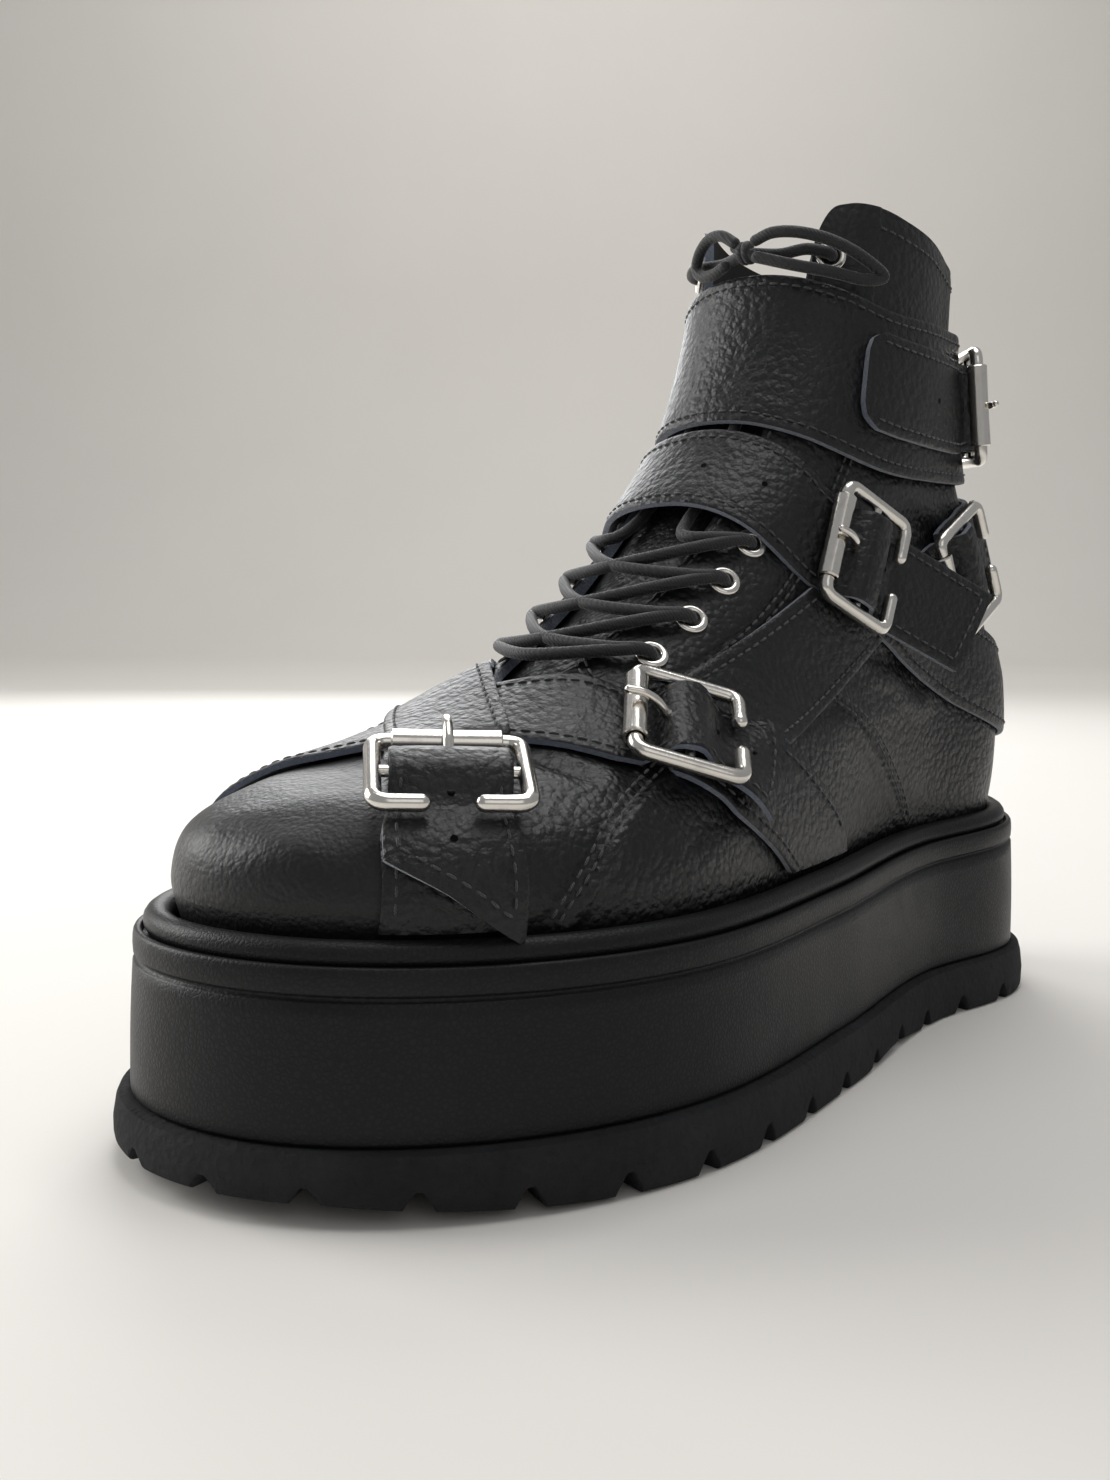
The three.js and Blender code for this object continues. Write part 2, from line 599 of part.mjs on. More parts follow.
function buckleParts(seat) {
  const halfAcross = BUCKLE_ACROSS / 2 - WIRE;
  const { reach } = seat;
  const corner = 3.2;
  const at = (x, y) => new THREE.Vector3(x, y, 0);
  const bends = [at(halfAcross, reach), at(halfAcross, -reach), at(-halfAcross, -reach), at(-halfAcross, reach)];
  const stops = [at(KEEPER_GAP / 2 + WIRE / 2, reach), ...bends, at(-KEEPER_GAP / 2 - WIRE / 2, reach)];
  const wire = new THREE.CurvePath();
  let here = stops[0];
  for (let k = 1; k < stops.length - 1; k += 1) {
    const into = stops[k].clone().sub(here).setLength(corner);
    const outOf = stops[k + 1].clone().sub(stops[k]).setLength(corner);
    const bendStart = stops[k].clone().sub(into);
    const bendEnd = stops[k].clone().add(outOf);
    wire.add(new THREE.LineCurve3(here, bendStart));
    wire.add(new THREE.QuadraticBezierCurve3(bendStart, stops[k], bendEnd));
    here = bendEnd;
  }
  wire.add(new THREE.LineCurve3(here, stops.at(-1)));
  const frame = tubeAlong(wire, WIRE, 6, 26);
  const bar = new THREE.CylinderGeometry(BAR, BAR, 2 * halfAcross, 6).rotateZ(Math.PI / 2);
  const body = toGeometry(toSolid(frame).add(toSolid(bar)));
  const inner = WIRE + CLEAR;
  const wide = halfAcross - corner - 0.6;
  const roller = new THREE.LatheGeometry([[inner, -wide], [inner + ROLLER, -wide], [inner + ROLLER, wide],
    [inner, wide], [inner, -wide]].map(([x, y]) => new THREE.Vector2(x, y)), 10)
    .rotateZ(Math.PI / 2).translate(0, -reach, 0);
  const top = inner + ROLLER + CLEAR + BAR;
  const path = [[-BAR * 2 - CLEAR, 0.2], [-reach * 0.45, 0.8], [-reach * 0.72, top * 0.75],
    [-reach, top], [-reach - 3, top - 0.3]];
  const prongPoints = path.map(([y, z]) => new THREE.Vector3(0, y, z));
  const prong = tube(prongPoints, BAR, 6, 8);
  const hole = tube(prongPoints, BAR + 0.6, 6, 8);
  const place = (geometry) => geometry.applyMatrix4(seat.basis);
  return { body: place(body), roller: place(roller), prong: place(prong), hole: place(hole) };
}

function pierced(geometry, hole) {
  return toGeometry(toSolid(geometry).subtract(toSolid(hole)));
}

const addBuckle = (name, parts) => {
  piece(`${name}_buckle`, parts.body, nickel);
  piece(`${name}_roller`, parts.roller, nickel);
  piece(`${name}_prong`, parts.prong, nickel);
};

// The toe strap runs from the inner waist over the vamp strap and down to the outer toe,
// the vamp strap from the inner toe under it and down to the outer waist.
const toeRoute = route([[-98, -0.03], [-93.9, 0.084], [-87, 0.157], [-76.2, 0.254], [-59.8, 0.352],
  [-38.4, 0.417], [-16.3, 0.432], [1.2, 0.405], [16.4, 0.351], [30.9, 0.253], [36, 0.16], [36.5, 0.07],
  [35, -0.03]]);
const toeSeat = buckleSeat(toeRoute, toeRoute.marks[9], STRAP_CLEAR, 1);
const vampRoute = route([[-41, -0.03], [-42.5, 0.06], [-42, 0.16], [-37, 0.247], [-24, 0.34], [-7, 0.40],
  [10, 0.424], [27, 0.42], [43, 0.387], [58.9, 0.32], [70, 0.255], [80, 0.18], [88, 0.10], [92.5, 0.035],
  [94, -0.03]]);
const vampSeat = buckleSeat(vampRoute, vampRoute.marks[9], STRAP_CLEAR + VAMP_CLEAR, 0.8);
const ankleRoute = route([[-146, 0.58], [-120, 0.585], [-95, 0.60], [-75, 0.625], [-55, 0.665], [-35, 0.705],
  [0, 0.728], [20, 0.722], [38, 0.697], [55, 0.655], [70, 0.61], [86, 0.563], [100, 0.505], [115, 0.42],
  [130, 0.335], [146, 0.265], [165, 0.22], [180, 0.21], [195, 0.22], [214, 0.265], [230, 0.335],
  [243, 0.41]]);
const ankleSeat = buckleSeat(ankleRoute, ankleRoute.marks[10] + 7.5);
const rearRoute = route([[99, 0.39], [104, 0.43], [111, 0.485], [119.5, 0.53], [129, 0.548], [145, 0.557],
  [165, 0.56], [185, 0.558], [203, 0.55]]);
const rearSeat = buckleSeat(rearRoute, rearRoute.marks[3] + 2, STRAP_CLEAR, 0.8);
const crossRoute = route([[52, 0.27], [62, 0.335], [70, 0.40], [77, 0.46], [84, 0.51], [92, 0.56]]);
const cuffRoute = route([[-165, 0.765], [-140, 0.772], [-110, 0.785], [-77, 0.803], [-43, 0.837], [-20, 0.853],
  [0, 0.858], [20, 0.855], [43, 0.838], [77, 0.803], [110, 0.785], [140, 0.772], [165, 0.765]]);
const tabRoute = route([[60, 0.823], [80, 0.806], [110, 0.787], [130, 0.778], [146, 0.772], [160, 0.767], [176, 0.764],
  [200, 0.767], [220, 0.772], [250, 0.787], [275, 0.803]]);
const CUFF_LAYER = CUFF_CLEAR + CUFF + 2 * CLEAR;
const cuffSeat = buckleSeat(tabRoute, tabRoute.marks[4], CUFF_LAYER);

// The same, with the strap's free end standing a little off what is under it.
const tipped = (seat, end, spare = 0) => (x) => threaded(seat, spare)(x) + 0.7 * smooth(x, end - 26, end - 12);

// Room kept round a strap when another piece is cut back to it.
const room = (path, options) => toSolid(strap(path, {
  ...options, width: STRAP_WIDTH + 2 * CLEAR + 0.3, lift: -2, thick: 12 }));

function straps() {
  const tipEnd = (near, far) => (a) => near + ((far - near) * (a + 1)) / 2;
  const toeParts = buckleParts(toeSeat);
  const toeStart = (a) => {
    const aside = (a * STRAP_WIDTH) / 2;
    let [low, high] = [0, toeRoute.marks[2]];
    for (let k = 0; k < 24; k += 1) {
      const m = (low + high) / 2;
      if (placeOn(toeRoute, m, aside)[1] < WELT_V) low = m; else high = m;
    }
    return high;
  };
  const vampStart = (a) => {
    const aside = (a * STRAP_WIDTH) / 2;
    let [low, high] = [0, vampRoute.marks[2]];
    for (let k = 0; k < 24; k += 1) {
      const m = (low + high) / 2;
      if (placeOn(vampRoute, m, aside)[1] < WELT_V) low = m; else high = m;
    }
    return high;
  };
  const toeEnd = (a) => downTo(toeRoute, toeRoute.marks[10], toeRoute.end, (a * STRAP_WIDTH) / 2);
  const vampEnd = (a) => downTo(vampRoute, vampRoute.marks[10], vampRoute.end, (a * STRAP_WIDTH) / 2);
  const toeTip = tipEnd(toeSeat.s + 18.4, toeSeat.s + 29);
  const over = crossing(toeRoute, vampRoute);
  const reach = STRAP_WIDTH * 0.67;
  const hump = (s) => (STRAP + CLEAR + VAMP_CLEAR + 0.1) * smooth(s, over - reach - 8, over - reach)
    * (1 - smooth(s, over + reach, over + reach + 6));
  const toeLift = tipped(toeSeat, toeTip(0), 0.4);
  piece('toe_strap', pierced(strap(toeRoute, { from: toeStart, to: toeTip, lift: (s) => toeLift(s) + hump(s),
    buckle: toeSeat.s, pitch: 5 }), toeParts.hole), blackLeather);
  piece('toe_strap_anchor', strap(toeRoute, { from: toeSeat.s - 2, to: toeEnd, buckle: toeSeat.s, pitch: 5 }), blackLeather);
  addBuckle('toe', toeParts);

  const vampParts = buckleParts(vampSeat);
  const vampTip = tipEnd(vampSeat.s + 20, vampSeat.s + 26.5);
  piece('vamp_strap', pierced(strap(vampRoute, { from: vampStart, to: vampTip, lift: tipped(vampSeat, vampTip(0)),
    buckle: vampSeat.s, pitch: 5.5 }),
    vampParts.hole), blackLeather);
  piece('vamp_strap_anchor', strap(vampRoute, { from: vampSeat.s - 2, to: vampEnd, buckle: vampSeat.s, pitch: 5.5 }), blackLeather);
  addBuckle('vamp', vampParts);

  const ankleParts = buckleParts(ankleSeat);
  const overLace = (s) => {
    const d = Math.abs(ankleRoute.at(s)[0]) / DEG;
    return 1.5 * (1 - smooth(d, 46, 60));
  };
  const ankleLift = threaded(ankleSeat);
  piece('ankle_strap', pierced(strap(ankleRoute, { to: tipEnd(ankleSeat.s + 42, ankleSeat.s + 49),
    lift: (s) => ankleLift(s) + overLace(s), buckle: ankleSeat.s, loose: ankleSeat, columns: 3 }),
    ankleParts.hole), blackLeather);
  piece('heel_strap', strap(ankleRoute, { from: ankleSeat.s - 2, buckle: ankleSeat.s, columns: 3 }), blackLeather);
  addBuckle('ankle', ankleParts);

  const rearParts = buckleParts(rearSeat);
  const clearOfHeel = (solid) => toGeometry(largest(solid.subtract(
    room(ankleRoute, { from: ankleRoute.marks[9], to: ankleRoute.marks[15] }))));
  const rear = toSolid(strap(rearRoute, { to: tipEnd(rearSeat.s + 25, rearSeat.s + 22),
    lift: threaded(rearSeat), buckle: rearSeat.s, columns: 3 }));
  piece('rear_strap', pierced(clearOfHeel(rear), rearParts.hole), blackLeather);
  piece('rear_strap_anchor', clearOfHeel(toSolid(strap(rearRoute, { from: rearSeat.s - 2,
    buckle: rearSeat.s, columns: 3 }))), blackLeather);
  addBuckle('rear', rearParts);

  const cross = toSolid(strap(crossRoute, {}))
    .subtract(room(vampRoute, { from: vampSeat.s - 20, to: vampRoute.marks[12] }))
    .subtract(room(ankleRoute, { from: ankleRoute.marks[9], to: ankleRoute.marks[14] }));
  piece('cross_strap', toGeometry(largest(cross)), blackLeather);

  piece('cuff', strap(cuffRoute, { width: CUFF_HEIGHT, thick: CUFF, lift: CUFF_CLEAR, pitch: 7 }), blackLeather);
  const cuffParts = buckleParts(cuffSeat);
  piece('cuff_strap', pierced(strap(tabRoute, { from: 0, to: tabRoute.marks[6],
    lift: threaded(cuffSeat), buckle: cuffSeat.s, columns: 3 }), cuffParts.hole), blackLeather);
  piece('cuff_strap_anchor', strap(tabRoute, { from: cuffSeat.s - 2, lift: CUFF_LAYER,
    buckle: cuffSeat.s, columns: 3 }), blackLeather);
  addBuckle('cuff', cuffParts);
}

// Eyelets and lace

const EYELET_SEAT = 0.35;
function eyelet(angle, v) {
  const rim = [[EYELET_HOLE, -WALL], [EYELET_HOLE + 0.6, -WALL], [EYELET_HOLE + 0.6, EYELET_SEAT],
    [EYELET, EYELET_SEAT], [EYELET - 0.4, EYELET_SEAT + EYELET_RIM], [EYELET_HOLE, EYELET_SEAT + EYELET_RIM],
    [EYELET_HOLE, -WALL]];
  return new THREE.LatheGeometry(rim.map(([x, y]) => new THREE.Vector2(x, y)), 9)
    .applyMatrix4(standing(angle, v));
}

const LACE_OVER = EYELET_SEAT + EYELET_RIM + CLEAR + LACE + 0.15;
const LACE_RIDGE = LACE + STRAP_CLEAR;

// The lace between the eyelets: each strand's points are degrees round, v and lift.
function crossings() {
  const strand = (points, steps) => toSolid(tube(
    points.map(([d, v, lift]) => onLast(d * DEG, v, lift)), LACE, 6, steps));
  const inward = (d, step) => d - Math.sign(d) * step;
  const over = (a, b) => {
    const mid = (a[1] + b[1]) / 2;
    const near = ([d, v]) => [[d, v, LACE_OVER], [inward(d, 10), v * 0.85 + mid * 0.15, LACE_OVER - 0.1]];
    return strand([...near(a), [0, mid, LACE_RIDGE + 0.3], ...near(b).reverse()], 10);
  };
  const solids = [over(EYELETS[0], [-EYELETS[0][0], EYELETS[0][1]])];
  for (let k = 0; k < 3; k += 1) {
    const [low, high] = [EYELETS[k], EYELETS[k + 1]];
    solids.push(over(low, [-high[0], high[1]]), over([-low[0], low[1]], high));
  }
  const deep = -1.2;
  for (const side of [1, -1]) {
    const last = EYELETS[3];
    solids.push(strand([[last[0], last[1], LACE_OVER], [32, 0.639, LACE_OVER - 0.1], [22, 0.645, 2.0], [16, 0.655, 0.5],
      [13.5, 0.675, -0.7], [13, 0.70, deep], [13, 0.80, deep], [13, 0.915, deep]].map(([d, v, lift]) => [d * side, v, lift]), 14));
  }
  return toGeometry(joined(solids));
}

// The bow at the top: the knot with the strands that come to it from the top eyelets, and two loops.
const at = (x, y, z) => new THREE.Vector3(x, y, z);
const KNOT = at(4, 25.5, 205);
const KNOT_SIZE = 3.4;
const INNER_LOOP = [at(1.5, 23.8, 207.6), at(-3, 24, 210.2), at(-8, 25.2, 210.3), at(-12.5, 26.8, 207.4),
  at(-14, 27.6, 203.8), at(-11.5, 26.8, 201.4), at(-6, 25, 201), at(-1.5, 23.8, 202.2)];
const OUTER_LOOP = [at(7.9, 24.2, 207.4), at(13, 24.4, 208.6), at(20, 27, 208), at(27.5, 32, 205.2),
  at(33, 38, 200.8), at(35, 42.5, 197.2), at(32.5, 38, 196.2), at(26.5, 31.4, 198), at(18, 26.4, 200.2),
  at(8.8, 23.8, 203)];
function knot() {
  const ball = new THREE.IcosahedronGeometry(KNOT_SIZE, 1).scale(1.25, 0.8, 0.9)
    .translate(KNOT.x, KNOT.y, KNOT.z);
  const [d, v] = EYELETS[4];
  const strands = [1, -1].map((side) => {
    const end = onLast(side * d * DEG, v, LACE_OVER);
    const near = onLast(side * (d - 10) * DEG, v + 0.004, LACE_OVER);
    const mid = KNOT.clone().lerp(near, 0.5).add(at(0, 1.2, -0.6));
    return toSolid(tube([KNOT, mid, near, end], LACE, 6, 8));
  });
  return toGeometry(joined([toSolid(ball), ...strands]));
}

piece('outsole', outsole(), treadRubber);
piece('midsole', midsole(), satinRubber);
piece('welt', welt(), satinRubber);
piece('insole', insole(), liningLeather);
piece('upper', upper(), blackLeather);
piece('tongue', tongue(), blackLeather);
straps();
EYELETS.forEach(([d, v], k) => {
  piece(`eyelet_outer_${k + 1}`, eyelet(d * DEG, v), nickel);
  piece(`eyelet_inner_${k + 1}`, eyelet(-d * DEG, v), nickel);
});
piece('lace_crossings', crossings(), laceCotton);
piece('lace_knot', knot(), laceCotton);
piece('lace_loop_inner', tube(INNER_LOOP, LACE, 6, 16), laceCotton);
piece('lace_loop_outer', tube(OUTER_LOOP, LACE, 6, 20), laceCotton);

// The frame's origin is under the middle of the boot, at the lowest point.
const box = new THREE.Box3().setFromObject(boot);
const middle = box.getCenter(new THREE.Vector3());
boot.position.set(-middle.x, -middle.y, -box.min.z);
boot.updateMatrixWorld(true);

export default boot;
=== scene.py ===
"""Left platform boot: black pebbled leather, five buckled straps, a cuff and a tall lugged platform.

Lengths are worked out in millimetres on the boot's own last and placed in metres.
"""

import math

import bmesh
import bpy
import numpy as np
from bpy.props import FloatProperty, FloatVectorProperty, PointerProperty
from mathutils import Matrix, Vector


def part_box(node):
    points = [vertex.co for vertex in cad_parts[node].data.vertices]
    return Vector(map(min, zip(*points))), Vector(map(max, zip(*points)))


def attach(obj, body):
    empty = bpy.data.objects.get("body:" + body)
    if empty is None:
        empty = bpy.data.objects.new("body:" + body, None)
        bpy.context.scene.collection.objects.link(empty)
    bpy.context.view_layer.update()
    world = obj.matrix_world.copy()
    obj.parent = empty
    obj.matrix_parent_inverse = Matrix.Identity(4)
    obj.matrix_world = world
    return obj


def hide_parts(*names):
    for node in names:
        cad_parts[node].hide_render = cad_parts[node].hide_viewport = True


bl_info = {
    "name": "Platform Boot",
    "version": (1, 0, 0),
    "blender": (4, 5, 0),
    "location": "View3D > Sidebar > Boot",
    "description": "Builds a buckled platform boot around its fixed frame",
    "category": "Object",
}

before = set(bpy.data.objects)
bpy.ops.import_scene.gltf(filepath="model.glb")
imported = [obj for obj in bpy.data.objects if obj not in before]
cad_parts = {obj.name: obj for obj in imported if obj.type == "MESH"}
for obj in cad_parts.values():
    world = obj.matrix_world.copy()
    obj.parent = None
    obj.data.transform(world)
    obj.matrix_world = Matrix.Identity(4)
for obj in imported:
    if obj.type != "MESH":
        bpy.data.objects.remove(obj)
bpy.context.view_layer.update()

MM = 0.001
DEG = math.pi / 180
STEP = 1e-3

# Driving sizes of the last and the sole, millimetres.
LAST_LENGTH = 271.0
BALL_WIDTH = 103.0
SHAFT_RISE = 170.0
INNER_SIDE = 0.95
LAST_BOW = 5.0
WALL = 2.4
OVERLAY = 0.8
CLEAR = 0.3
RIM = (47.5, 44.5, 51.5)
TREAD_LINE = (13.8, 12.8, 13.6)
RIM_REACH = 9.5
SIDE_FLARE = 1.1
TREAD_REACH = 4.6
LIP = 1.6
TROUGH = 2.0
SIDE_GROOVE = 5.6
GROOVE_DEPTH = 0.8
WELT_RADIUS = 3.0
WELT_REACH = 4.6
SEAT_LIFT = 0.8
TOE_SPRING = 4.3
SPRING_SHARE = 0.28
ARCH_LIFT = 1.6
LUG = 5.0
NOTCH_WIDTH = 6.4
NOTCH_ROOT = 1.4
NOTCH_LENGTH = 17.0
NOTCH_PITCH = 21.0
NOTCH_EDGE = 0.02
TONGUE = 4.0
TONGUE_LOW = 0.42
TONGUE_HIGH = 0.925
MIDDLE_FIELD = 18.6
SLOT_PITCH = 19.0
SLOT_WIDTH = 4.0

# Straps, buckles, eyelets and lace, millimetres.
STRAP_CLEAR = 0.6
VAMP_CLEAR = 0.2
STRAP_WIDTH = 26.0
STRAP = 1.8
THREADED_NARROWER = 2.0
THREADED = (-14.0, -9.0)
HELD_FLAT = (-24.0, -12.0)
KEEPER_PAST = 10.0
LOOSE_PAST = 17.0
BUCKLE_SPARE = 0.6
ROW_PITCH = 1.6
EDGE_ROLL = 0.42
EDGE_ROLL_WIDE = 0.45
SEAM_SUNK = 0.16
SEAM_SINKS = 0.05
LOOSE_RISE = 0.13
TIP_LIFT = 1.8
HUMP_RISE = STRAP + CLEAR + VAMP_CLEAR + 0.1
HUMP_REACH = 0.67
HUMP_RUN_IN = 8.0
HUMP_RUN_OUT = 6.0
HOLE_PAST = 5.5
BASE_START = 2.0
TONGUE_LIFT = 1.5
CUFF_HEIGHT = 42.0
CUFF = 2.0
CUFF_CLEAR = 1.0
CUFF_LAYER = CUFF_CLEAR + CUFF + 2 * CLEAR
BUCKLE_ACROSS = 33.5
BUCKLE_ALONG = 27.5
BUCKLE_CORNER = 3.2
WIRE = 1.75
BAR = 1.2
ROLLER = 0.7
HOOK_RADIUS = 0.75
HOOK_WIRE = 0.62
HOLE_RADIUS = 0.75
KEEPER_GAP = 10.0
EYELET = 4.0
EYELET_HOLE = 2.0
EYELET_RIM = 0.9
EYELET_SEAT = 0.35
LACE = 1.5
LACE_SIDES = 14
WELT_V = 0.04

# Places tried across a strap's end, and times the search for it is halved.
ACROSS = 9
HALVINGS = 22

# Rows of the last from the welt to the collar, as shares: front point along and up, back point
# the same, then seven half widths from front to back.
ROWS = np.array([
    [0.000, 0.000, 1.000, 0.000, 0.38, 0.33, 0.50, 0.40, 0.270, 0.27, 0.25],
    [-0.007, 0.059, 1.009, 0.071, 0.40, 0.34, 0.51, 0.41, 0.290, 0.28, 0.26],
    [0.007, 0.118, 1.013, 0.153, 0.37, 0.315, 0.48, 0.40, 0.300, 0.28, 0.25],
    [0.061, 0.159, 1.011, 0.224, 0.33, 0.27, 0.42, 0.38, 0.300, 0.27, 0.24],
    [0.138, 0.188, 1.002, 0.294, 0.27, 0.24, 0.355, 0.355, 0.300, 0.26, 0.235],
    [0.227, 0.235, 0.987, 0.365, 0.24, 0.21, 0.315, 0.335, 0.300, 0.25, 0.225],
    [0.315, 0.309, 0.967, 0.435, 0.235, 0.195, 0.30, 0.325, 0.300, 0.24, 0.215],
    [0.397, 0.397, 0.941, 0.512, 0.235, 0.185, 0.295, 0.32, 0.295, 0.225, 0.215],
    [0.470, 0.500, 0.913, 0.594, 0.24, 0.175, 0.28, 0.31, 0.280, 0.205, 0.215],
    [0.533, 0.606, 0.895, 0.682, 0.25, 0.17, 0.27, 0.30, 0.270, 0.195, 0.225],
    [0.577, 0.729, 0.886, 0.776, 0.26, 0.165, 0.268, 0.30, 0.267, 0.19, 0.235],
    [0.603, 0.859, 0.884, 0.876, 0.27, 0.165, 0.272, 0.305, 0.270, 0.188, 0.245],
    [0.614, 1.000, 0.887, 1.000, 0.28, 0.165, 0.277, 0.31, 0.274, 0.19, 0.25],
])
ROW_LINE = np.vstack([2 * ROWS[0] - ROWS[1], ROWS, 2 * ROWS[-1] - ROWS[-2]])

# Top line of the collar, v against degrees, and half width of the throat, degrees against v.
COLLAR = ((0, 0.90), (30, 0.935), (33, 0.965), (38, 0.988), (46, 0.995), (60, 0.994), (80, 0.983),
          (100, 0.972), (130, 0.955), (160, 0.945), (180, 0.942))
THROAT = ((0.470, 0), (0.4715, 4.5), (0.476, 9), (0.485, 12.5), (0.50, 15), (0.54, 17), (0.58, 20),
          (0.64, 23), (0.72, 25), (0.80, 27), (0.88, 29), (0.935, 30.5), (1.05, 30.5))
EYELETS = ((35, 0.50), (38, 0.545), (40, 0.592), (42, 0.636), (40, 0.948))

# Routes of the straps on the last: degrees round and v.
TOE_POINTS = ((-98, -0.03), (-93.9, 0.084), (-87, 0.157), (-76.2, 0.254), (-59.8, 0.352), (-38.4, 0.417),
              (-16.3, 0.432), (1.2, 0.405), (16.4, 0.351), (30.9, 0.253), (36, 0.16), (36.5, 0.07),
              (35, -0.03))
VAMP_POINTS = ((-41, -0.03), (-42.5, 0.06), (-42, 0.16), (-37, 0.247), (-24, 0.34), (-7, 0.40), (10, 0.424),
               (27, 0.42), (43, 0.387), (58.9, 0.32), (70, 0.255), (80, 0.18), (88, 0.10), (92.5, 0.035),
               (94, -0.03))
ANKLE_POINTS = ((-146, 0.58), (-120, 0.585), (-95, 0.60), (-75, 0.625), (-55, 0.665), (-35, 0.705),
                (0, 0.728), (20, 0.722), (38, 0.697), (55, 0.655), (70, 0.61), (86, 0.563), (100, 0.505),
                (115, 0.42), (130, 0.335), (146, 0.265), (165, 0.22), (180, 0.21), (195, 0.22),
                (214, 0.265), (230, 0.335), (243, 0.41))
REAR_POINTS = ((99, 0.39), (104, 0.43), (111, 0.485), (119.5, 0.53), (129, 0.548), (145, 0.557), (165, 0.56),
               (185, 0.558), (203, 0.55))
CROSS_POINTS = ((52, 0.27), (62, 0.335), (70, 0.40), (77, 0.46), (84, 0.51), (92, 0.56))
CUFF_POINTS = ((-165, 0.765), (-140, 0.772), (-110, 0.785), (-77, 0.803), (-43, 0.837), (-20, 0.853),
               (0, 0.858), (20, 0.855), (43, 0.838), (77, 0.803), (110, 0.785), (140, 0.772),
               (165, 0.765))
TAB_POINTS = ((60, 0.823), (80, 0.806), (110, 0.787), (130, 0.778), (146, 0.772), (160, 0.767),
              (176, 0.764), (200, 0.767), (220, 0.772), (250, 0.787), (275, 0.803))

# The bow at the top of the lacing.
KNOT = (4, 25.5, 205)
INNER_LOOP = ((1.5, 23.8, 207.6), (-3, 24, 210.2), (-8, 25.2, 210.3), (-12.5, 26.8, 207.4),
              (-14, 27.6, 203.8), (-11.5, 26.8, 201.4), (-6, 25, 201), (-1.5, 23.8, 202.2))
OUTER_LOOP = ((7.9, 24.2, 207.4), (13, 24.4, 208.6), (20, 27, 208), (27.5, 32, 205.2), (33, 38, 200.8),
              (35, 42.5, 197.2), (32.5, 38, 196.2), (26.5, 31.4, 198), (18, 26.4, 200.2), (8.8, 23.8, 203))

# The photograph's camera: eye in millimetres, turn, dip and roll in radians, field in degrees.
EYE = (242.0, -296.1, 113.3)
EYE_TURN = 0.764
EYE_DIP = 0.090
EYE_ROLL = 0.008
LENS = 48.42
SENSOR = 36.0


# The last

def blend(a, b, c, d, f):
    """Catmull-Rom value between b and c."""
    square, cube = 2 * a - 5 * b + 4 * c - d, 3 * b - a - 3 * c + d
    return 0.5 * (2 * b + (c - a) * f + square * f ** 2 + cube * f ** 3)


def smooth(x, low, high):
    """Smooth step from 0 at low to 1 at high."""
    t = np.clip((np.asarray(x, float) - low) / (high - low), 0, 1)
    return t * t * (3 - 2 * t)


def unit(vectors):
    """The vectors at length 1."""
    return vectors / np.linalg.norm(vectors, axis=-1, keepdims=True)


def ring(count, start=0.0):
    """Angles of a full turn in even steps."""
    return start + 2 * np.pi * np.arange(count) / count


def walked(line):
    """Length walked along a line at each of its points."""
    return np.concatenate([[0], np.cumsum(np.linalg.norm(np.diff(line, axis=0), axis=1))])


def steady(value):
    """A number as a function that takes arrays too; a function stays as it is."""
    return value if callable(value) else lambda x: value + 0.0 * x


def along_last(values, y):
    """A curve through toe, waist and heel values along the last."""
    t = (y + LAST_LENGTH / 2) / LAST_LENGTH
    return values[0] * (1 - t) ** 2 + 2 * values[1] * t * (1 - t) + values[2] * t * t


def last_point(turn, v):
    """Point of the last's surface at an angle round it, 0 at the front, and v from welt to collar."""
    turn, v = np.broadcast_arrays(np.asarray(turn, float), np.asarray(v, float))
    angle = turn - 2 * np.pi * np.round(turn / (2 * np.pi))
    x = np.minimum(v, 1) * (len(ROWS) - 1)
    i = np.clip(np.floor(x), 0, len(ROWS) - 2).astype(int)
    row = blend(ROW_LINE[i], ROW_LINE[i + 1], ROW_LINE[i + 2], ROW_LINE[i + 3], (x - i)[..., None])
    front = (row[..., 0] - 0.5) * LAST_LENGTH
    back = (row[..., 2] - 0.5) * LAST_LENGTH
    reach = row[..., 4:] * BALL_WIDTH
    reach[..., 1:6] /= np.sin(np.arange(1, 6) * 30 * DEG)
    reach[..., [0, 6]] = np.sqrt(reach[..., [0, 6]] * ((back - front) / 2)[..., None])
    reach = reach[..., [1, 0, 1, 2, 3, 4, 5, 6, 5]]
    a = np.abs(angle)
    x = np.minimum(a / np.pi, 1) * 6
    i = np.minimum(np.floor(x), 5).astype(int)
    near = [np.take_along_axis(reach, (i + k)[..., None], -1)[..., 0] for k in range(4)]
    side = np.sin(a) * blend(*near, x - i)
    s = (1 - np.cos(a)) / 2
    y = front + s * (back - front)
    up = (row[..., 1] + s * (row[..., 3] - row[..., 1])) * SHAFT_RISE
    t = np.clip((y + LAST_LENGTH / 2) / LAST_LENGTH, -0.1, 1.1)
    bow = LAST_BOW * (4 * t * (1 - t) - 0.5) * np.clip(1 - up / 150, 0, 1)
    x = bow + np.where(angle < 0, -INNER_SIDE * side, side)
    return np.stack([x, y, up + along_last(RIM, y) + SEAT_LIFT], -1)


def last_normal(angle, v):
    """Direction out of the last's surface."""
    across = last_point(angle + STEP, v) - last_point(angle - STEP, v)
    up = last_point(angle, np.minimum(v + STEP, 1)) - last_point(angle, v - STEP)
    return unit(np.cross(across, up))


def relief(angle, v, soft=6.0):
    """Thickness of the counter and the quarter over the vamp; soft is half the width of their edges."""
    around = np.abs(angle - 2 * np.pi * np.round(angle / (2 * np.pi))) / DEG
    counter, quarter = 121 - 95 * v, 47 + 55 * v
    return (OVERLAY * smooth(around, counter - soft, counter + soft) * (1 - smooth(v, 0.33, 0.40))
            + OVERLAY * smooth(around, quarter - soft, quarter + soft) * (1 - smooth(v, 0.27, 0.34)))


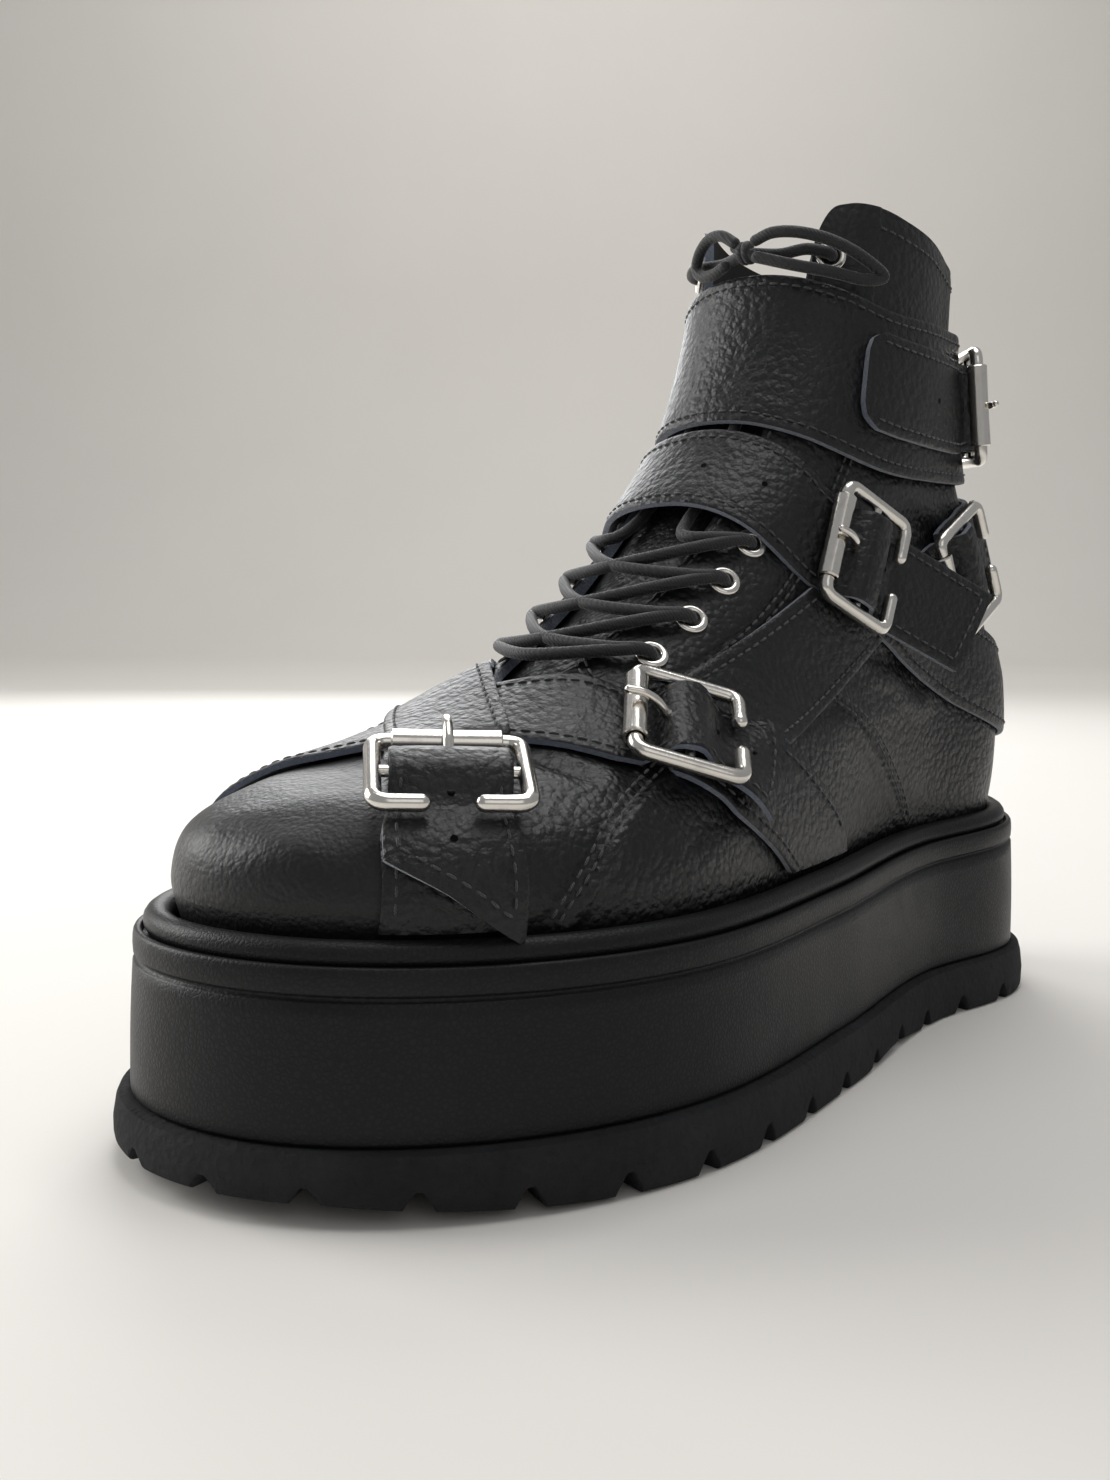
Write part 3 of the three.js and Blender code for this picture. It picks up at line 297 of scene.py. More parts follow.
def on_last(angle, v, lift):
    """Point at a lift over the last, or over the counter and the quarter where they lie on it."""
    lift = np.asarray(lift, float)
    total = lift + np.where(lift > -WALL / 2, relief(np.asarray(angle, float), np.asarray(v, float)), 0)
    return last_point(angle, v) + last_normal(angle, v) * total[..., None]


def outline(angle, offset):
    """The welt outline, offset outward, in plan."""
    p = last_point(angle, 0)
    t = last_point(angle + STEP, 0) - last_point(angle - STEP, 0)
    n = unit(np.stack([t[..., 1], -t[..., 0]], -1))
    return p[..., :2] + n * np.asarray(offset, float)[..., None]


def spline(points, per):
    """Centripetal Catmull-Rom through points, with per steps in each span."""
    points = np.asarray(points, float)
    line = np.vstack([2 * points[0] - points[1], points, 2 * points[-1] - points[-2]])
    found = []
    for k in range(len(points) - 1):
        p0, p1, p2, p3 = line[k:k + 4]
        d0, d1, d2 = (np.sum((b - a) ** 2) ** 0.25 for a, b in ((p0, p1), (p1, p2), (p2, p3)))
        t1 = ((p1 - p0) / d0 - (p2 - p0) / (d0 + d1) + (p2 - p1) / d1) * d1
        t2 = ((p2 - p1) / d1 - (p3 - p1) / (d1 + d2) + (p3 - p2) / d2) * d1
        square, cube = 3 * (p2 - p1) - 2 * t1 - t2, 2 * (p1 - p2) + t1 + t2
        found += [p1 + t1 * f + square * f ** 2 + cube * f ** 3 for f in np.arange(per) / per]
    return np.array(found + [points[-1]])


class Route:
    """A line on the last through points of degrees and v, measured along its length."""

    SPAN = 14

    def __init__(self, points):
        line = spline([(d / 100, v) for d, v in points], self.SPAN)
        self.places = line * (100 * DEG, 1)
        self.lengths = walked(last_point(self.places[:, 0], self.places[:, 1]))
        self.marks = self.lengths[::self.SPAN]
        self.end = self.lengths[-1]

    def at(self, s):
        """Angle and v at lengths along the route."""
        s = np.asarray(s, float)
        k = np.clip(np.searchsorted(self.lengths, s), 1, len(self.lengths) - 1)
        f = (s - self.lengths[k - 1]) / (self.lengths[k] - self.lengths[k - 1])
        place = self.places[k - 1] + f[..., None] * (self.places[k] - self.places[k - 1])
        return place[..., 0], place[..., 1]

    def heading(self, s):
        """Directions along the route, out of the leather and across it."""
        along = unit(last_point(*self.at(s + 1.0)) - last_point(*self.at(s - 1.0)))
        out = last_normal(*self.at(s))
        return along, out, unit(np.cross(out, along))

    def beside(self, s, aside):
        """Angle and v of the places that lie aside of the route, walked over the surface."""
        s, aside = np.broadcast_arrays(np.asarray(s, float), np.asarray(aside, float))
        angle, v = self.at(s)
        heading = self.heading(s)[2]
        steps = 6
        for _ in range(steps):
            around = (last_point(angle + STEP, v) - last_point(angle - STEP, v)) / (2 * STEP)
            up = (last_point(angle, v + STEP) - last_point(angle, v - STEP)) / (2 * STEP)
            out = unit(np.cross(around, up))
            heading = unit(heading - out * np.sum(heading * out, -1, keepdims=True))
            rr, ru, uu = (np.sum(a * b, -1) for a, b in ((around, around), (around, up), (up, up)))
            dr, du = np.sum(around * heading, -1), np.sum(up * heading, -1)
            scale = aside / steps / (rr * uu - ru * ru)
            angle = angle + scale * (dr * uu - du * ru)
            v = v + scale * (rr * du - ru * dr)
        return angle, v


def welt_meet(route, low, high, leaving):
    """Where a strap on the route meets the welt, as a function of the share across it."""
    share = np.linspace(-1, 1, ACROSS)
    a, b = np.full(ACROSS, float(low)), np.full(ACROSS, float(high))
    for _ in range(HALVINGS):
        m = (a + b) / 2
        v = route.beside(m, share * STRAP_WIDTH / 2)[1]
        go = v > WELT_V if leaving else v < WELT_V
        a, b = np.where(go, m, a), np.where(go, b, m)
    return lambda x: np.interp(x, share, b)


# Meshes

def shift():
    """Sideways place of the last in the frame, from the platform's box."""
    x = outline(ring(48, -np.pi), RIM_REACH + SIDE_FLARE)[:, 0]
    low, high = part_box("midsole")
    return np.array([(low.x + high.x) / 2 / MM - (x.min() + x.max()) / 2, 0, 0])


ORIGIN = shift()


class Form:
    """Points, faces and finish numbers of one mesh in the making."""

    def __init__(self):
        self.points, self.faces, self.slots, self.count = [], [], [], 0

    def add(self, points, faces, slot=0):
        points = np.asarray(points, float).reshape(-1, 3)
        self.faces += (np.asarray(faces) + self.count).tolist()
        self.slots += [slot] * len(faces)
        self.points.append(points)
        self.count += len(points)

    def grid(self, points, slot=0, loop=False):
        """A sheet of rows and columns; loop joins its last column to its first."""
        rows, cols = points.shape[:2]
        i, j = np.meshgrid(np.arange(rows - 1), np.arange(cols - (not loop)), indexing="ij")
        k = (j + 1) % cols
        quads = np.stack([i * cols + j, i * cols + k, (i + 1) * cols + k, (i + 1) * cols + j], -1)
        self.add(points, quads.reshape(-1, 4), slot)

    def slab(self, top, back, face=0, under=0, edge=1):
        """A closed sheet between two grids, with its cut edges in a finish of their own."""
        self.grid(top, face)
        self.grid(back[:, ::-1], under)
        rim = [np.concatenate([g[0, :-1], g[:-1, -1], g[-1, :0:-1], g[:0:-1, 0]]) for g in (top, back)]
        rim = [np.concatenate([r, r[:1]]) for r in rim]
        middle = (rim[0] + rim[1]) / 2
        self.grid(np.stack([rim[0], middle, rim[1]]), edge)

    def sweep(self, path, radius, sides=LACE_SIDES):
        """A round rod along a path with domed ends."""
        path = np.asarray(path, float)
        radius = np.broadcast_to(np.asarray(radius, float), len(path)).copy()
        tangent = unit(np.gradient(path, axis=0))
        dome = np.array([89, 70, 45, 20]) * DEG
        start = path[0] - tangent[0] * radius[0] * np.sin(dome)[:, None]
        end = path[-1] + tangent[-1] * radius[-1] * np.sin(dome[::-1])[:, None]
        line = np.vstack([start, path, end])
        size = np.concatenate([radius[0] * np.cos(dome), radius, radius[-1] * np.cos(dome[::-1])])
        ways = np.vstack([np.tile(tangent[0], (4, 1)), tangent, np.tile(tangent[-1], (4, 1))])
        side = unit(np.cross(ways[0], (0, 0, 1) if abs(ways[0][2]) < 0.9 else (1, 0, 0)))
        turn = ring(sides)
        rings = []
        for centre, r, way in zip(line, size, ways):
            side = unit(side - way * np.dot(side, way))
            other = np.cross(way, side)
            rings.append(centre + r * (np.cos(turn)[:, None] * side + np.sin(turn)[:, None] * other))
        self.grid(np.array(rings), loop=True)

    def lathe(self, profile, centre, axis, sides=36, slot=0):
        """A closed profile of radius and height turned about an axis."""
        axis = unit(np.asarray(axis, float))
        side = unit(np.cross(axis, (0, 0, 1) if abs(axis[2]) < 0.9 else (1, 0, 0)))
        other = np.cross(axis, side)
        turn = ring(sides)
        around = np.cos(turn)[:, None] * side + np.sin(turn)[:, None] * other
        rows = [centre + r * around + h * axis for r, h in list(profile) + [profile[0]]]
        self.grid(np.array(rows), slot, loop=True)

    def stitches(self, line, out):
        """Stitches along a line that lies on a surface, each a small spindle sunk half way in."""
        sizes = bpy.context.scene.boot_sizes
        steps = walked(line)
        count = max(int(steps[-1] / sizes.stitch_pitch), 1)
        s = (np.arange(count) + 0.5) * steps[-1] / count

        def at(where, values):
            return np.stack([np.interp(where, steps, values[:, k]) for k in range(3)], -1)
        spot, up = at(s, line), unit(at(s, out))
        way = unit(at(s + 0.4, line) - at(s - 0.4, line))
        side = unit(np.cross(up, way))
        turn = ring(6)
        around = side[:, None] * np.cos(turn)[:, None] + up[:, None] * np.sin(turn)[:, None]
        rings = []
        for share, fat in ((-0.5, 0.25), (-0.36, 0.85), (0, 1.0), (0.36, 0.85), (0.5, 0.25)):
            arch = 0.12 * (1 - (2 * share) ** 2)
            centre = spot + way * sizes.stitch_length * share + up * arch
            rings.append(centre[:, None] + around * sizes.thread_gauge / 2 * fat)
        faces = [(i + j, i + (j + 1) % 6, i + 6 + (j + 1) % 6, i + 6 + j)
                 for i in range(0, 24, 6) for j in range(6)]
        faces += [(0, 5, 4, 3), (0, 3, 2, 1), (24, 25, 26, 27), (24, 27, 28, 29)]
        whole = (np.asarray(faces)[None] + 30 * np.arange(count)[:, None, None]).reshape(-1, 4)
        self.add(np.stack(rings, 1), whole)



def put(name, form, finishes, nodes=(), crease=35):
    """Makes the mesh object of a form, in its place on the frame."""
    mesh = bpy.data.meshes.new(name)
    points = (np.concatenate(form.points) + ORIGIN) * MM
    mesh.from_pydata(points.tolist(), [], form.faces)
    for finish in finishes:
        mesh.materials.append(finish.material)
    mesh.polygons.foreach_set("material_index", form.slots)
    work = bmesh.new()
    work.from_mesh(mesh)
    bmesh.ops.remove_doubles(work, verts=work.verts, dist=2e-6)
    bmesh.ops.recalc_face_normals(work, faces=work.faces)
    work.to_mesh(mesh)
    work.free()
    mesh.polygons.foreach_set("use_smooth", [True] * len(mesh.polygons))
    mesh.set_sharp_from_angle(angle=crease * DEG)
    piece = bpy.data.objects.new(name, mesh)
    bpy.context.scene.collection.objects.link(piece)
    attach(piece, "root")
    if nodes:
        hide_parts(*nodes)
    return piece


# Finishes

class Value:
    """A socket whose value changes over a surface; arithmetic on it adds Math nodes."""

    def __init__(self, finish, socket):
        self.finish, self.socket = finish, socket

    def maths(self, operation, *values):
        return self.finish.node("ShaderNodeMath", {"operation": operation}, dict(enumerate(values)))

    def __add__(self, other):
        return self.maths("ADD", self, other)

    def __sub__(self, other):
        return self.maths("SUBTRACT", self, other)

    def __rsub__(self, other):
        return self.maths("SUBTRACT", other, self)

    def __mul__(self, other):
        return self.maths("MULTIPLY", self, other)

    __radd__ = __add__
    __rmul__ = __mul__


class Finish:
    """A material, its shader and the nodes that feed it."""

    def __init__(self, name, colour, roughness, **fixed):
        self.material = bpy.data.materials.new(name)
        self.material.use_nodes = True
        self.material.diffuse_color = (*colour, 1)
        self.tree = self.material.node_tree
        self.shader = self.tree.nodes["Principled BSDF"]
        self.plug(self.shader.inputs["Base Color"], (*colour, 1))
        self.plug(self.shader.inputs["Roughness"], roughness)
        for key, value in fixed.items():
            self.plug(self.shader.inputs[key.replace("_", " ")], value)

    def plug(self, socket, value):
        """Links a value to a socket, or sets it."""
        if isinstance(value, Value):
            self.tree.links.new(value.socket, socket)
        else:
            socket.default_value = value

    def node(self, kind, settings=None, inputs=None, output=0):
        """Any node: its settings first, then its inputs by name or number."""
        node = self.tree.nodes.new(kind)
        for key, value in (settings or {}).items():
            if key == "stops":
                ramp = node.color_ramp.elements
                for k, (place, shade) in enumerate(value):
                    stop = ramp[k] if k < 2 else ramp.new(place)
                    stop.position = place
                    stop.color = (shade, shade, shade, 1)
            else:
                setattr(node, key, value)
        for key, value in (inputs or {}).items():
            self.plug(node.inputs[key], value)
        return Value(self, node.outputs[output])

    def place(self):
        return self.node("ShaderNodeTexCoord", output=3)

    def noise(self, scale, detail=4.0, roughness=0.55, place=None):
        return self.node("ShaderNodeTexNoise", {"noise_dimensions": "3D"}, {
            "Vector": place or self.place(), "Scale": scale, "Detail": detail, "Roughness": roughness})

    def cells(self, scale, place=None, feature="F1"):
        return self.node("ShaderNodeTexVoronoi", {"feature": feature}, {
            "Vector": place or self.place(), "Scale": scale})

    def ramp(self, value, *stops):
        return self.node("ShaderNodeValToRGB", {"stops": stops}, {"Fac": value})

    def mix(self, factor, first, second):
        return self.node("ShaderNodeMix", {"data_type": "RGBA"}, {0: factor, 6: first, 7: second}, 2)

    def warped(self, amount, scale):
        """Object coordinates pushed about a little, so that grain doesn't run straight."""
        noise = self.node("ShaderNodeTexNoise", None, {"Vector": self.place(), "Scale": scale}, 1)
        push = self.node("ShaderNodeVectorMath", {"operation": "SCALE"}, {0: noise, "Scale": amount})
        return self.node("ShaderNodeVectorMath", {"operation": "ADD"}, {0: self.place(), 1: push})

    def bump(self, height, depth, strength=1.0, under=None):
        """A bump of a height from 0 to 1, depth metres deep; under is a coarser bump below it."""
        inputs = {"Height": height, "Distance": depth, "Strength": strength}
        if under:
            inputs["Normal"] = under
        return self.node("ShaderNodeBump", None, inputs)

    def set(self, **links):
        for key, value in links.items():
            self.plug(self.shader.inputs[key.replace("_", " ")], value)
        return self


def shade(colour, factor):
    """A colour made darker or lighter, with its alpha."""
    return (*[min(c * factor, 1) for c in colour], 1)


FINISHES = {}


def make_finishes():
    """All the boot's finishes, from the user's colours."""
    colours = bpy.context.scene.boot_colours
    sizes = bpy.context.scene.boot_sizes

    leather = tuple(colours.leather)
    grain = 1000 / sizes.pebble

    hide = Finish("pebbled_leather", leather, 0.4, Specular_IOR_Level=0.36, Coat_Roughness=0.25)
    place = hide.warped(0.0010, 200)
    lengthways = hide.node("ShaderNodeSeparateXYZ", None, {"Vector": hide.place()}, 1)
    rear = hide.ramp((lengthways + 0.2) * 5, (0.42, 0.0), (0.62, 1.0))
    coarse = 1 - hide.cells(grain, place)
    small = 1 - hide.cells(grain * 1.8, place)
    pebble = coarse * (0.25 + 0.75 * rear) + small * 0.3
    fine = hide.noise(grain * 6, 3)
    dust = hide.ramp(hide.noise(22, 5, 0.65), (0.5, 0.0), (0.78, 1.0))
    hide.set(Base_Color=hide.mix(dust * 0.3, shade(leather, 1), shade(leather, 1.9)),
             Roughness=0.40 + 0.10 * hide.noise(60) + 0.08 * dust - 0.10 * pebble,
             Coat_Weight=0.06 * pebble,
             Normal=hide.bump(pebble + 0.15 * fine, 0.00042, 0.9, hide.bump(hide.noise(45, 3), 0.0012, 0.35)))
    FINISHES["hide"] = hide

    strap = Finish("strap_leather", leather, 0.4, Specular_IOR_Level=0.36, Coat_Roughness=0.2)
    place = strap.warped(0.0010, 220)
    pebble = (1 - strap.cells(grain * 0.9, place)) + 0.35 * (1 - strap.cells(grain * 2, place))
    rub = strap.ramp(strap.noise(30, 5, 0.6), (0.52, 0.0), (0.74, 1.0))
    strap.set(Base_Color=strap.mix(rub * 0.35, shade(leather, 1.1), shade(leather, 2.2)),
              Roughness=0.40 + 0.12 * strap.noise(80) + 0.10 * rub - 0.10 * pebble,
              Coat_Weight=0.06 * pebble,
              Normal=strap.bump(pebble + 0.2 * strap.noise(grain * 6, 3), 0.00042, 0.9,
                                strap.bump(strap.noise(70, 3), 0.0008, 0.3)))
    FINISHES["strap"] = strap
    # The punched holes are discs painted far darker than the leather: painted shade inside each hole, over
    # the black leather seen through it.
    FINISHES["hole"] = Finish("punched_hole_painted_shade", shade(leather, 0.2)[:3], 0.9, Specular_IOR_Level=0.1)

    tint = tuple(colours.suede)
    suede = Finish("suede_edge", tint, 0.95, Specular_IOR_Level=0.2, Sheen_Weight=0.6, Sheen_Roughness=0.5)
    nap = suede.noise(1300, 4, 0.75)
    suede.set(Base_Color=suede.mix(nap, shade(tint, 0.45), shade(tint, 1.7)),
              Normal=suede.bump(nap + 0.6 * suede.noise(500, 2), 0.0005, 0.9))
    FINISHES["suede"] = suede

    tint = tuple(colours.lining)
    lining = Finish("lining_leather", tint, 0.75, Specular_IOR_Level=0.3)
    weave = lining.cells(900)
    lining.set(Base_Color=lining.mix(lining.noise(40, 4), shade(tint, 0.7), shade(tint, 1.35)),
               Roughness=0.68 + 0.2 * lining.noise(90), Normal=lining.bump(weave, 0.0002, 0.5))
    FINISHES["lining"] = lining

    tint = tuple(colours.metal)
    metal = Finish("nickel", tint, 0.2, Metallic=1.0)
    worn = metal.noise(240, 5, 0.6)
    scratch = metal.noise(1400, 2, 0.5, metal.node("ShaderNodeMapping", None, {
        "Vector": metal.place(), "Scale": (1, 1, 0.08)}))
    rubbed = metal.ramp(worn, (0.55, 0.0), (0.8, 1.0))
    metal.set(Base_Color=metal.mix(rubbed * 0.5, shade(tint, 1), shade(tint, 0.62)),
              Roughness=0.09 + 0.15 * worn + 0.06 * scratch,
              Normal=metal.bump(scratch + metal.noise(120, 2), 0.00006, 0.5))
    FINISHES["metal"] = metal

    tint = tuple(colours.thread)
    thread = Finish("thread", tint, 0.6, Sheen_Weight=0.3)
    twist = thread.node("ShaderNodeTexWave", {"bands_direction": "DIAGONAL"}, {
        "Vector": thread.place(), "Scale": 900.0, "Distortion": 1.5})
    thread.set(Base_Color=thread.mix(twist, shade(tint, 0.6), shade(tint, 1.3)),
               Normal=thread.bump(twist, 0.0001, 0.6))
    FINISHES["thread"] = thread

    tint = tuple(colours.lace)
    lace = Finish("lace_braid", tint, 0.7, Sheen_Weight=0.25, Sheen_Roughness=0.4)
    first, second = (lace.node("ShaderNodeTexWave", {"bands_direction": "DIAGONAL"}, {
        "Vector": lace.node("ShaderNodeMapping", None, {"Vector": lace.place(), "Scale": way}),
        "Scale": 520.0, "Distortion": 0.8}) for way in ((1, 1, 1), (-1, 1, -1)))
    braid = first * second
    lace.set(Base_Color=lace.mix(braid, shade(tint, 0.55), shade(tint, 1.6)), Roughness=0.6 + 0.2 * braid,
             Normal=lace.bump(braid + 0.3 * lace.noise(1800, 2), 0.00016, 0.7))
    FINISHES["lace"] = lace

    tint = tuple(colours.platform)
    wall = Finish("platform_wrap", tint, 0.45, Specular_IOR_Level=0.2, Coat_Roughness=0.3)
    place = wall.warped(0.0006, 200)
    skin = wall.ramp(wall.cells(900, place, "DISTANCE_TO_EDGE"), (0.0, 0.0), (0.25, 0.8), (0.6, 1.0))
    scuff = wall.ramp(wall.noise(26, 6, 0.7), (0.56, 0.0), (0.75, 1.0))
    wall.set(Base_Color=wall.mix(scuff * 0.35, shade(tint, 1), shade(tint, 2.0)),
             Roughness=0.38 + 0.14 * wall.noise(70) + 0.14 * scuff, Coat_Weight=0.12 * skin,
             Normal=wall.bump(skin, 0.00009, 0.6, wall.bump(wall.noise(35, 3), 0.0008, 0.25)))
    FINISHES["wall"] = wall

    tint = tuple(colours.tread)
    tread = Finish("tread_rubber", tint, 0.8, Specular_IOR_Level=0.25)
    speck = tread.noise(420, 6, 0.8) + 0.5 * tread.cells(520)
    dusty = tread.ramp(tread.noise(35, 5, 0.65), (0.42, 0.0), (0.75, 1.0))
    tread.set(Base_Color=tread.mix(dusty * 0.5 + speck * 0.45, shade(tint, 0.6), shade(tint, 3.2)),
              Roughness=0.66 + 0.2 * speck, Normal=tread.bump(speck, 0.0016, 1.0))
    FINISHES["tread"] = tread


# Straps

def strap_rows(start, stop, pitch, zone=22.0):
    """Lengths of a strap's rows for a share across it; in the zone at each end they follow the cut."""
    middle = np.linspace(start(0.0), stop(0.0), max(int((stop(0.0) - start(0.0)) / pitch), 4))

    def rows(share):
        x = middle[:, None]
        return (x + (start(share) - start(0.0)) * np.maximum(0, 1 - (x - middle[0]) / zone)
                + (stop(share) - stop(0.0)) * np.maximum(0, 1 - (middle[-1] - x) / zone))
    return rows


def strap_sheet(form, stitching, route, start, stop, lift, width=STRAP_WIDTH, thick=STRAP, seat=None,
                crown=0.15, rise=None, base=None):
    """A strap along a route, its cut edges in suede, its top rolled at the rim and sunk at its seams.

    With a rise it goes straight on past its keeper, out of the buckle's plane by that much.
    """
    sizes = bpy.context.scene.boot_sizes
    middle_s = seat.s if seat else base
    start, stop, lift = steady(start), steady(stop), steady(lift)

    def spot(x, aside, height):
        """Point and outward direction at a length, a distance aside and a height in the strap."""
        slim = 1 - THREADED_NARROWER / width * smooth(-np.abs(x - middle_s), *THREADED) if middle_s else 1
        angle, v = route.beside(x, aside * slim)
        p, out = on_last(angle, v, lift(x) + height), last_normal(angle, v)
        if seat:
            f = smooth(-np.abs(x - middle_s), *HELD_FLAT)[..., None]
            flat = on_last(*route.at(x), lift(x) + height) - seat.across * (aside * slim)[..., None]
            p, out = p + f * (flat - p), unit(out + f * (seat.out - out))
        if rise is not None:
            f = smooth(x, seat.s + KEEPER_PAST, seat.s + LOOSE_PAST)[..., None]
            under = rise * (x - seat.s - KEEPER_PAST) - (STRAP + CLEAR + WIRE + BUCKLE_SPARE)
            held = seat.place(np.stack(np.broadcast_arrays(-aside, x - seat.s, under + height), -1))
            p, out = p + f * (held - p), unit(out + f * (seat.out - out))
        return p, out
    half = width / 2
    inset = sizes.seam_inset
    near = np.array([0, 0.25, 0.6, 1.2, inset - 0.5, inset, inset + 0.5])
    inner = half - inset - 0.5
    middle = np.linspace(-inner, inner, 2 + 2 * int(inner / 2.6))[1:-1]
    aside = np.concatenate([-half + near, middle, (half - near)[::-1]])
    share = aside / half
    rows = strap_rows(start, stop, ROW_PITCH)
    s = rows(share)
    edge = half - np.abs(aside)
    roll = EDGE_ROLL * np.exp(-edge / EDGE_ROLL_WIDE)
    groove = SEAM_SUNK * np.exp(-((edge - inset) / EDGE_ROLL_WIDE) ** 2)
    top = thick - roll - groove + crown * (1 - share ** 2)
    face = spot(s, aside + 0 * s, top + 0 * s)[0]
    back = spot(s, aside + 0 * s, 0.1 * np.exp(-edge / 0.5) + 0 * s)[0]
    form.slab(face, back, 0, 1, 1)

    def sew(x, place):
        line, out = spot(x, place, thick - SEAM_SINKS + crown * (1 - (place / half) ** 2))
        stitching.stitches(line, out)
    for side in (-1, 1):
        place = side * (half - inset)
        line_s = rows(np.array([place / half]))[2:-2, 0]
        if middle_s:
            line_s = line_s[np.abs(line_s - middle_s) > 4]
        if len(line_s) < 4:
            continue
        breaks = np.where(np.diff(line_s) > 6)[0]
        for part in np.split(line_s, breaks + 1):
            if len(part) > 3:
                sew(part, place + 0 * part)
    if seat:
        place = np.linspace(-1, 1, 15) * (half - inset)
        sew(stop(place / half) - inset - 0.4, place)


class Seat:
    """Where a buckle lies: its plane rests on the strap's way in, its bar and its way out."""

    def __init__(self, route, s, base=STRAP_CLEAR, raised=0.0):
        self.s, self.base = s, base
        self.reach = BUCKLE_ALONG / 2 - WIRE
        roller = base + STRAP + CLEAR + WIRE + CLEAR + ROLLER + BUCKLE_SPARE + raised
        keeper = base + 2 * STRAP + 2 * CLEAR + WIRE + BUCKLE_SPARE + raised
        a = on_last(*route.at(s - self.reach), roller)
        b = on_last(*route.at(s + self.reach), keeper)
        self.along = unit(b - a)
        self.out = unit(np.cross(self.along, route.heading(s)[2]))
        self.across = np.cross(self.along, self.out)
        foot = on_last(*route.at(s), 0)
        least = base + STRAP + CLEAR + BAR + 0.2
        height = np.dot((a + b) / 2 - foot, self.out)
        self.centre = (a + b) / 2 + self.out * max(0, least - height)
        self.bar = max(height, least)

    def place(self, points):
        return self.centre + np.asarray(points, float) @ np.array([self.across, self.along, self.out])

    def threaded(self, spare=0.0):
        """Lift of the strap's end side: under the roller, over the bar, over the anchor."""
        over = self.bar + BAR + CLEAR + spare
        layer = self.base + STRAP + CLEAR
        return lambda x: (self.base + (over - self.base) * smooth(x, self.s - 8.5, self.s - 2)
                          - (over - layer) * smooth(x, self.s + 2, self.s + 10))


def buckle(name, seat):
    """Frame with its open keeper side and centre bar, the roller and the prong."""
    metal = FINISHES["metal"]
    half = BUCKLE_ACROSS / 2 - WIRE
    reach = seat.reach
    gap = KEEPER_GAP / 2 + WIRE / 2
    stops = np.array([(gap, reach), (half, reach), (half, -reach),
                      (-half, -reach), (-half, reach), (-gap, reach)])
    path = [stops[0]]
    for before, bend, after in zip(stops, stops[1:], stops[2:]):
        into = bend - unit(bend - before) * BUCKLE_CORNER
        out_of = bend + unit(after - bend) * BUCKLE_CORNER
        path += [path[-1] + (into - path[-1]) * f for f in np.linspace(0.1, 1, 8)]
        path += [(1 - f) ** 2 * into + 2 * f * (1 - f) * bend + f * f * out_of
                 for f in np.linspace(0.12, 1, 8)]
    path += [path[-1] + (stops[-1] - path[-1]) * f for f in np.linspace(0.2, 1, 5)]
    wire = np.column_stack([np.array(path), np.zeros(len(path))])
    form = Form()
    form.sweep(seat.place(wire), WIRE, 18)
    bar = [(x, 0, 0) for x in np.linspace(-half, half, 9)]
    form.sweep(seat.place(bar), BAR)
    put(f"{name}_buckle_frame", form, [metal], [f"{name}_buckle"])

    inner = WIRE + CLEAR
    wide = half - BUCKLE_CORNER - BUCKLE_SPARE
    outer = inner + ROLLER
    profile = [(inner, -wide), (outer - 0.3, -wide), (outer, -wide + 0.3)]
    profile += [(outer - 0.12 * (1 - (x / wide) ** 2), x) for x in np.linspace(-wide * 0.9, wide * 0.9, 7)]
    profile += [(outer, wide - 0.3), (outer - 0.3, wide), (inner, wide)]
    form = Form()
    form.lathe(profile, seat.place((0, -reach, 0)), seat.across)
    put(f"{name}_roller_tube", form, [metal], [f"{name}_roller"])

    top = inner + ROLLER + CLEAR + BAR
    tine = spline([(0, -BAR * 2 - CLEAR, 0.2), (0, -reach * 0.45, 0.8), (0, -reach * 0.72, top * 0.75),
                   (0, -reach, top), (0, -reach - 3, top - 0.3)], 8)
    size = np.linspace(BAR * 1.05, BAR * 0.78, len(tine))
    form = Form()
    form.sweep(seat.place(tine), size)
    curl = np.linspace(20, 340, 15) * DEG
    hook = BAR + HOOK_RADIUS
    round_bar = np.column_stack([np.zeros(15), hook * -np.cos(curl), hook * np.sin(curl)])
    form.sweep(seat.place(round_bar), HOOK_WIRE, 12)
    put(f"{name}_prong_tine", form, [metal], [f"{name}_prong"])


def strap(name, node, route, start, stop, lift, holes=(), **more):
    """One visible length of a strap, with its stitches and small punched holes along its middle, each hole a
    disc painted near black: painted shade inside the hole over the black leather seen through it.
    """
    form, stitching = Form(), Form()
    strap_sheet(form, stitching, route, start, stop, lift, **more)
    for s in holes:
        angle, v = route.at(s)
        centre = on_last(angle, v, lift(s) + STRAP + 0.1)
        # A near-black disc stands in for the open hole: painted shade.
        profile = [(0.02, 0.06), (HOLE_RADIUS, 0.09), (HOLE_RADIUS + 0.1, -0.4), (0.02, -0.4)]
        form.lathe(profile, centre, last_normal(angle, v), 16, 2)
    put(name, form, [FINISHES[key] for key in ("strap", "suede", "hole")], [node], 40)
    if stitching.count:
        put(f"{name}_stitches", stitching, [FINISHES["thread"]])


def routes():
    """Routes and buckle seats of all the straps."""
    ways = {name: Route(points) for name, points in (
        ("toe", TOE_POINTS), ("vamp", VAMP_POINTS), ("ankle", ANKLE_POINTS), ("rear", REAR_POINTS),
        ("cross", CROSS_POINTS), ("cuff", CUFF_POINTS), ("tab", TAB_POINTS))}
    seats = {
        "toe": Seat(ways["toe"], ways["toe"].marks[9], STRAP_CLEAR, 1.0),
        "vamp": Seat(ways["vamp"], ways["vamp"].marks[9], STRAP_CLEAR + VAMP_CLEAR, 0.8),
        "ankle": Seat(ways["ankle"], ways["ankle"].marks[10] + 7.5),
        "rear": Seat(ways["rear"], ways["rear"].marks[3] + 2, STRAP_CLEAR, 0.8),
        "cuff": Seat(ways["tab"], ways["tab"].marks[4], CUFF_LAYER),
    }
    return ways, seats


def slanted(near, far):
    """An end cut at a slant, from near on one edge to far on the other."""
    return lambda share: near + (far - near) * (share + 1) / 2


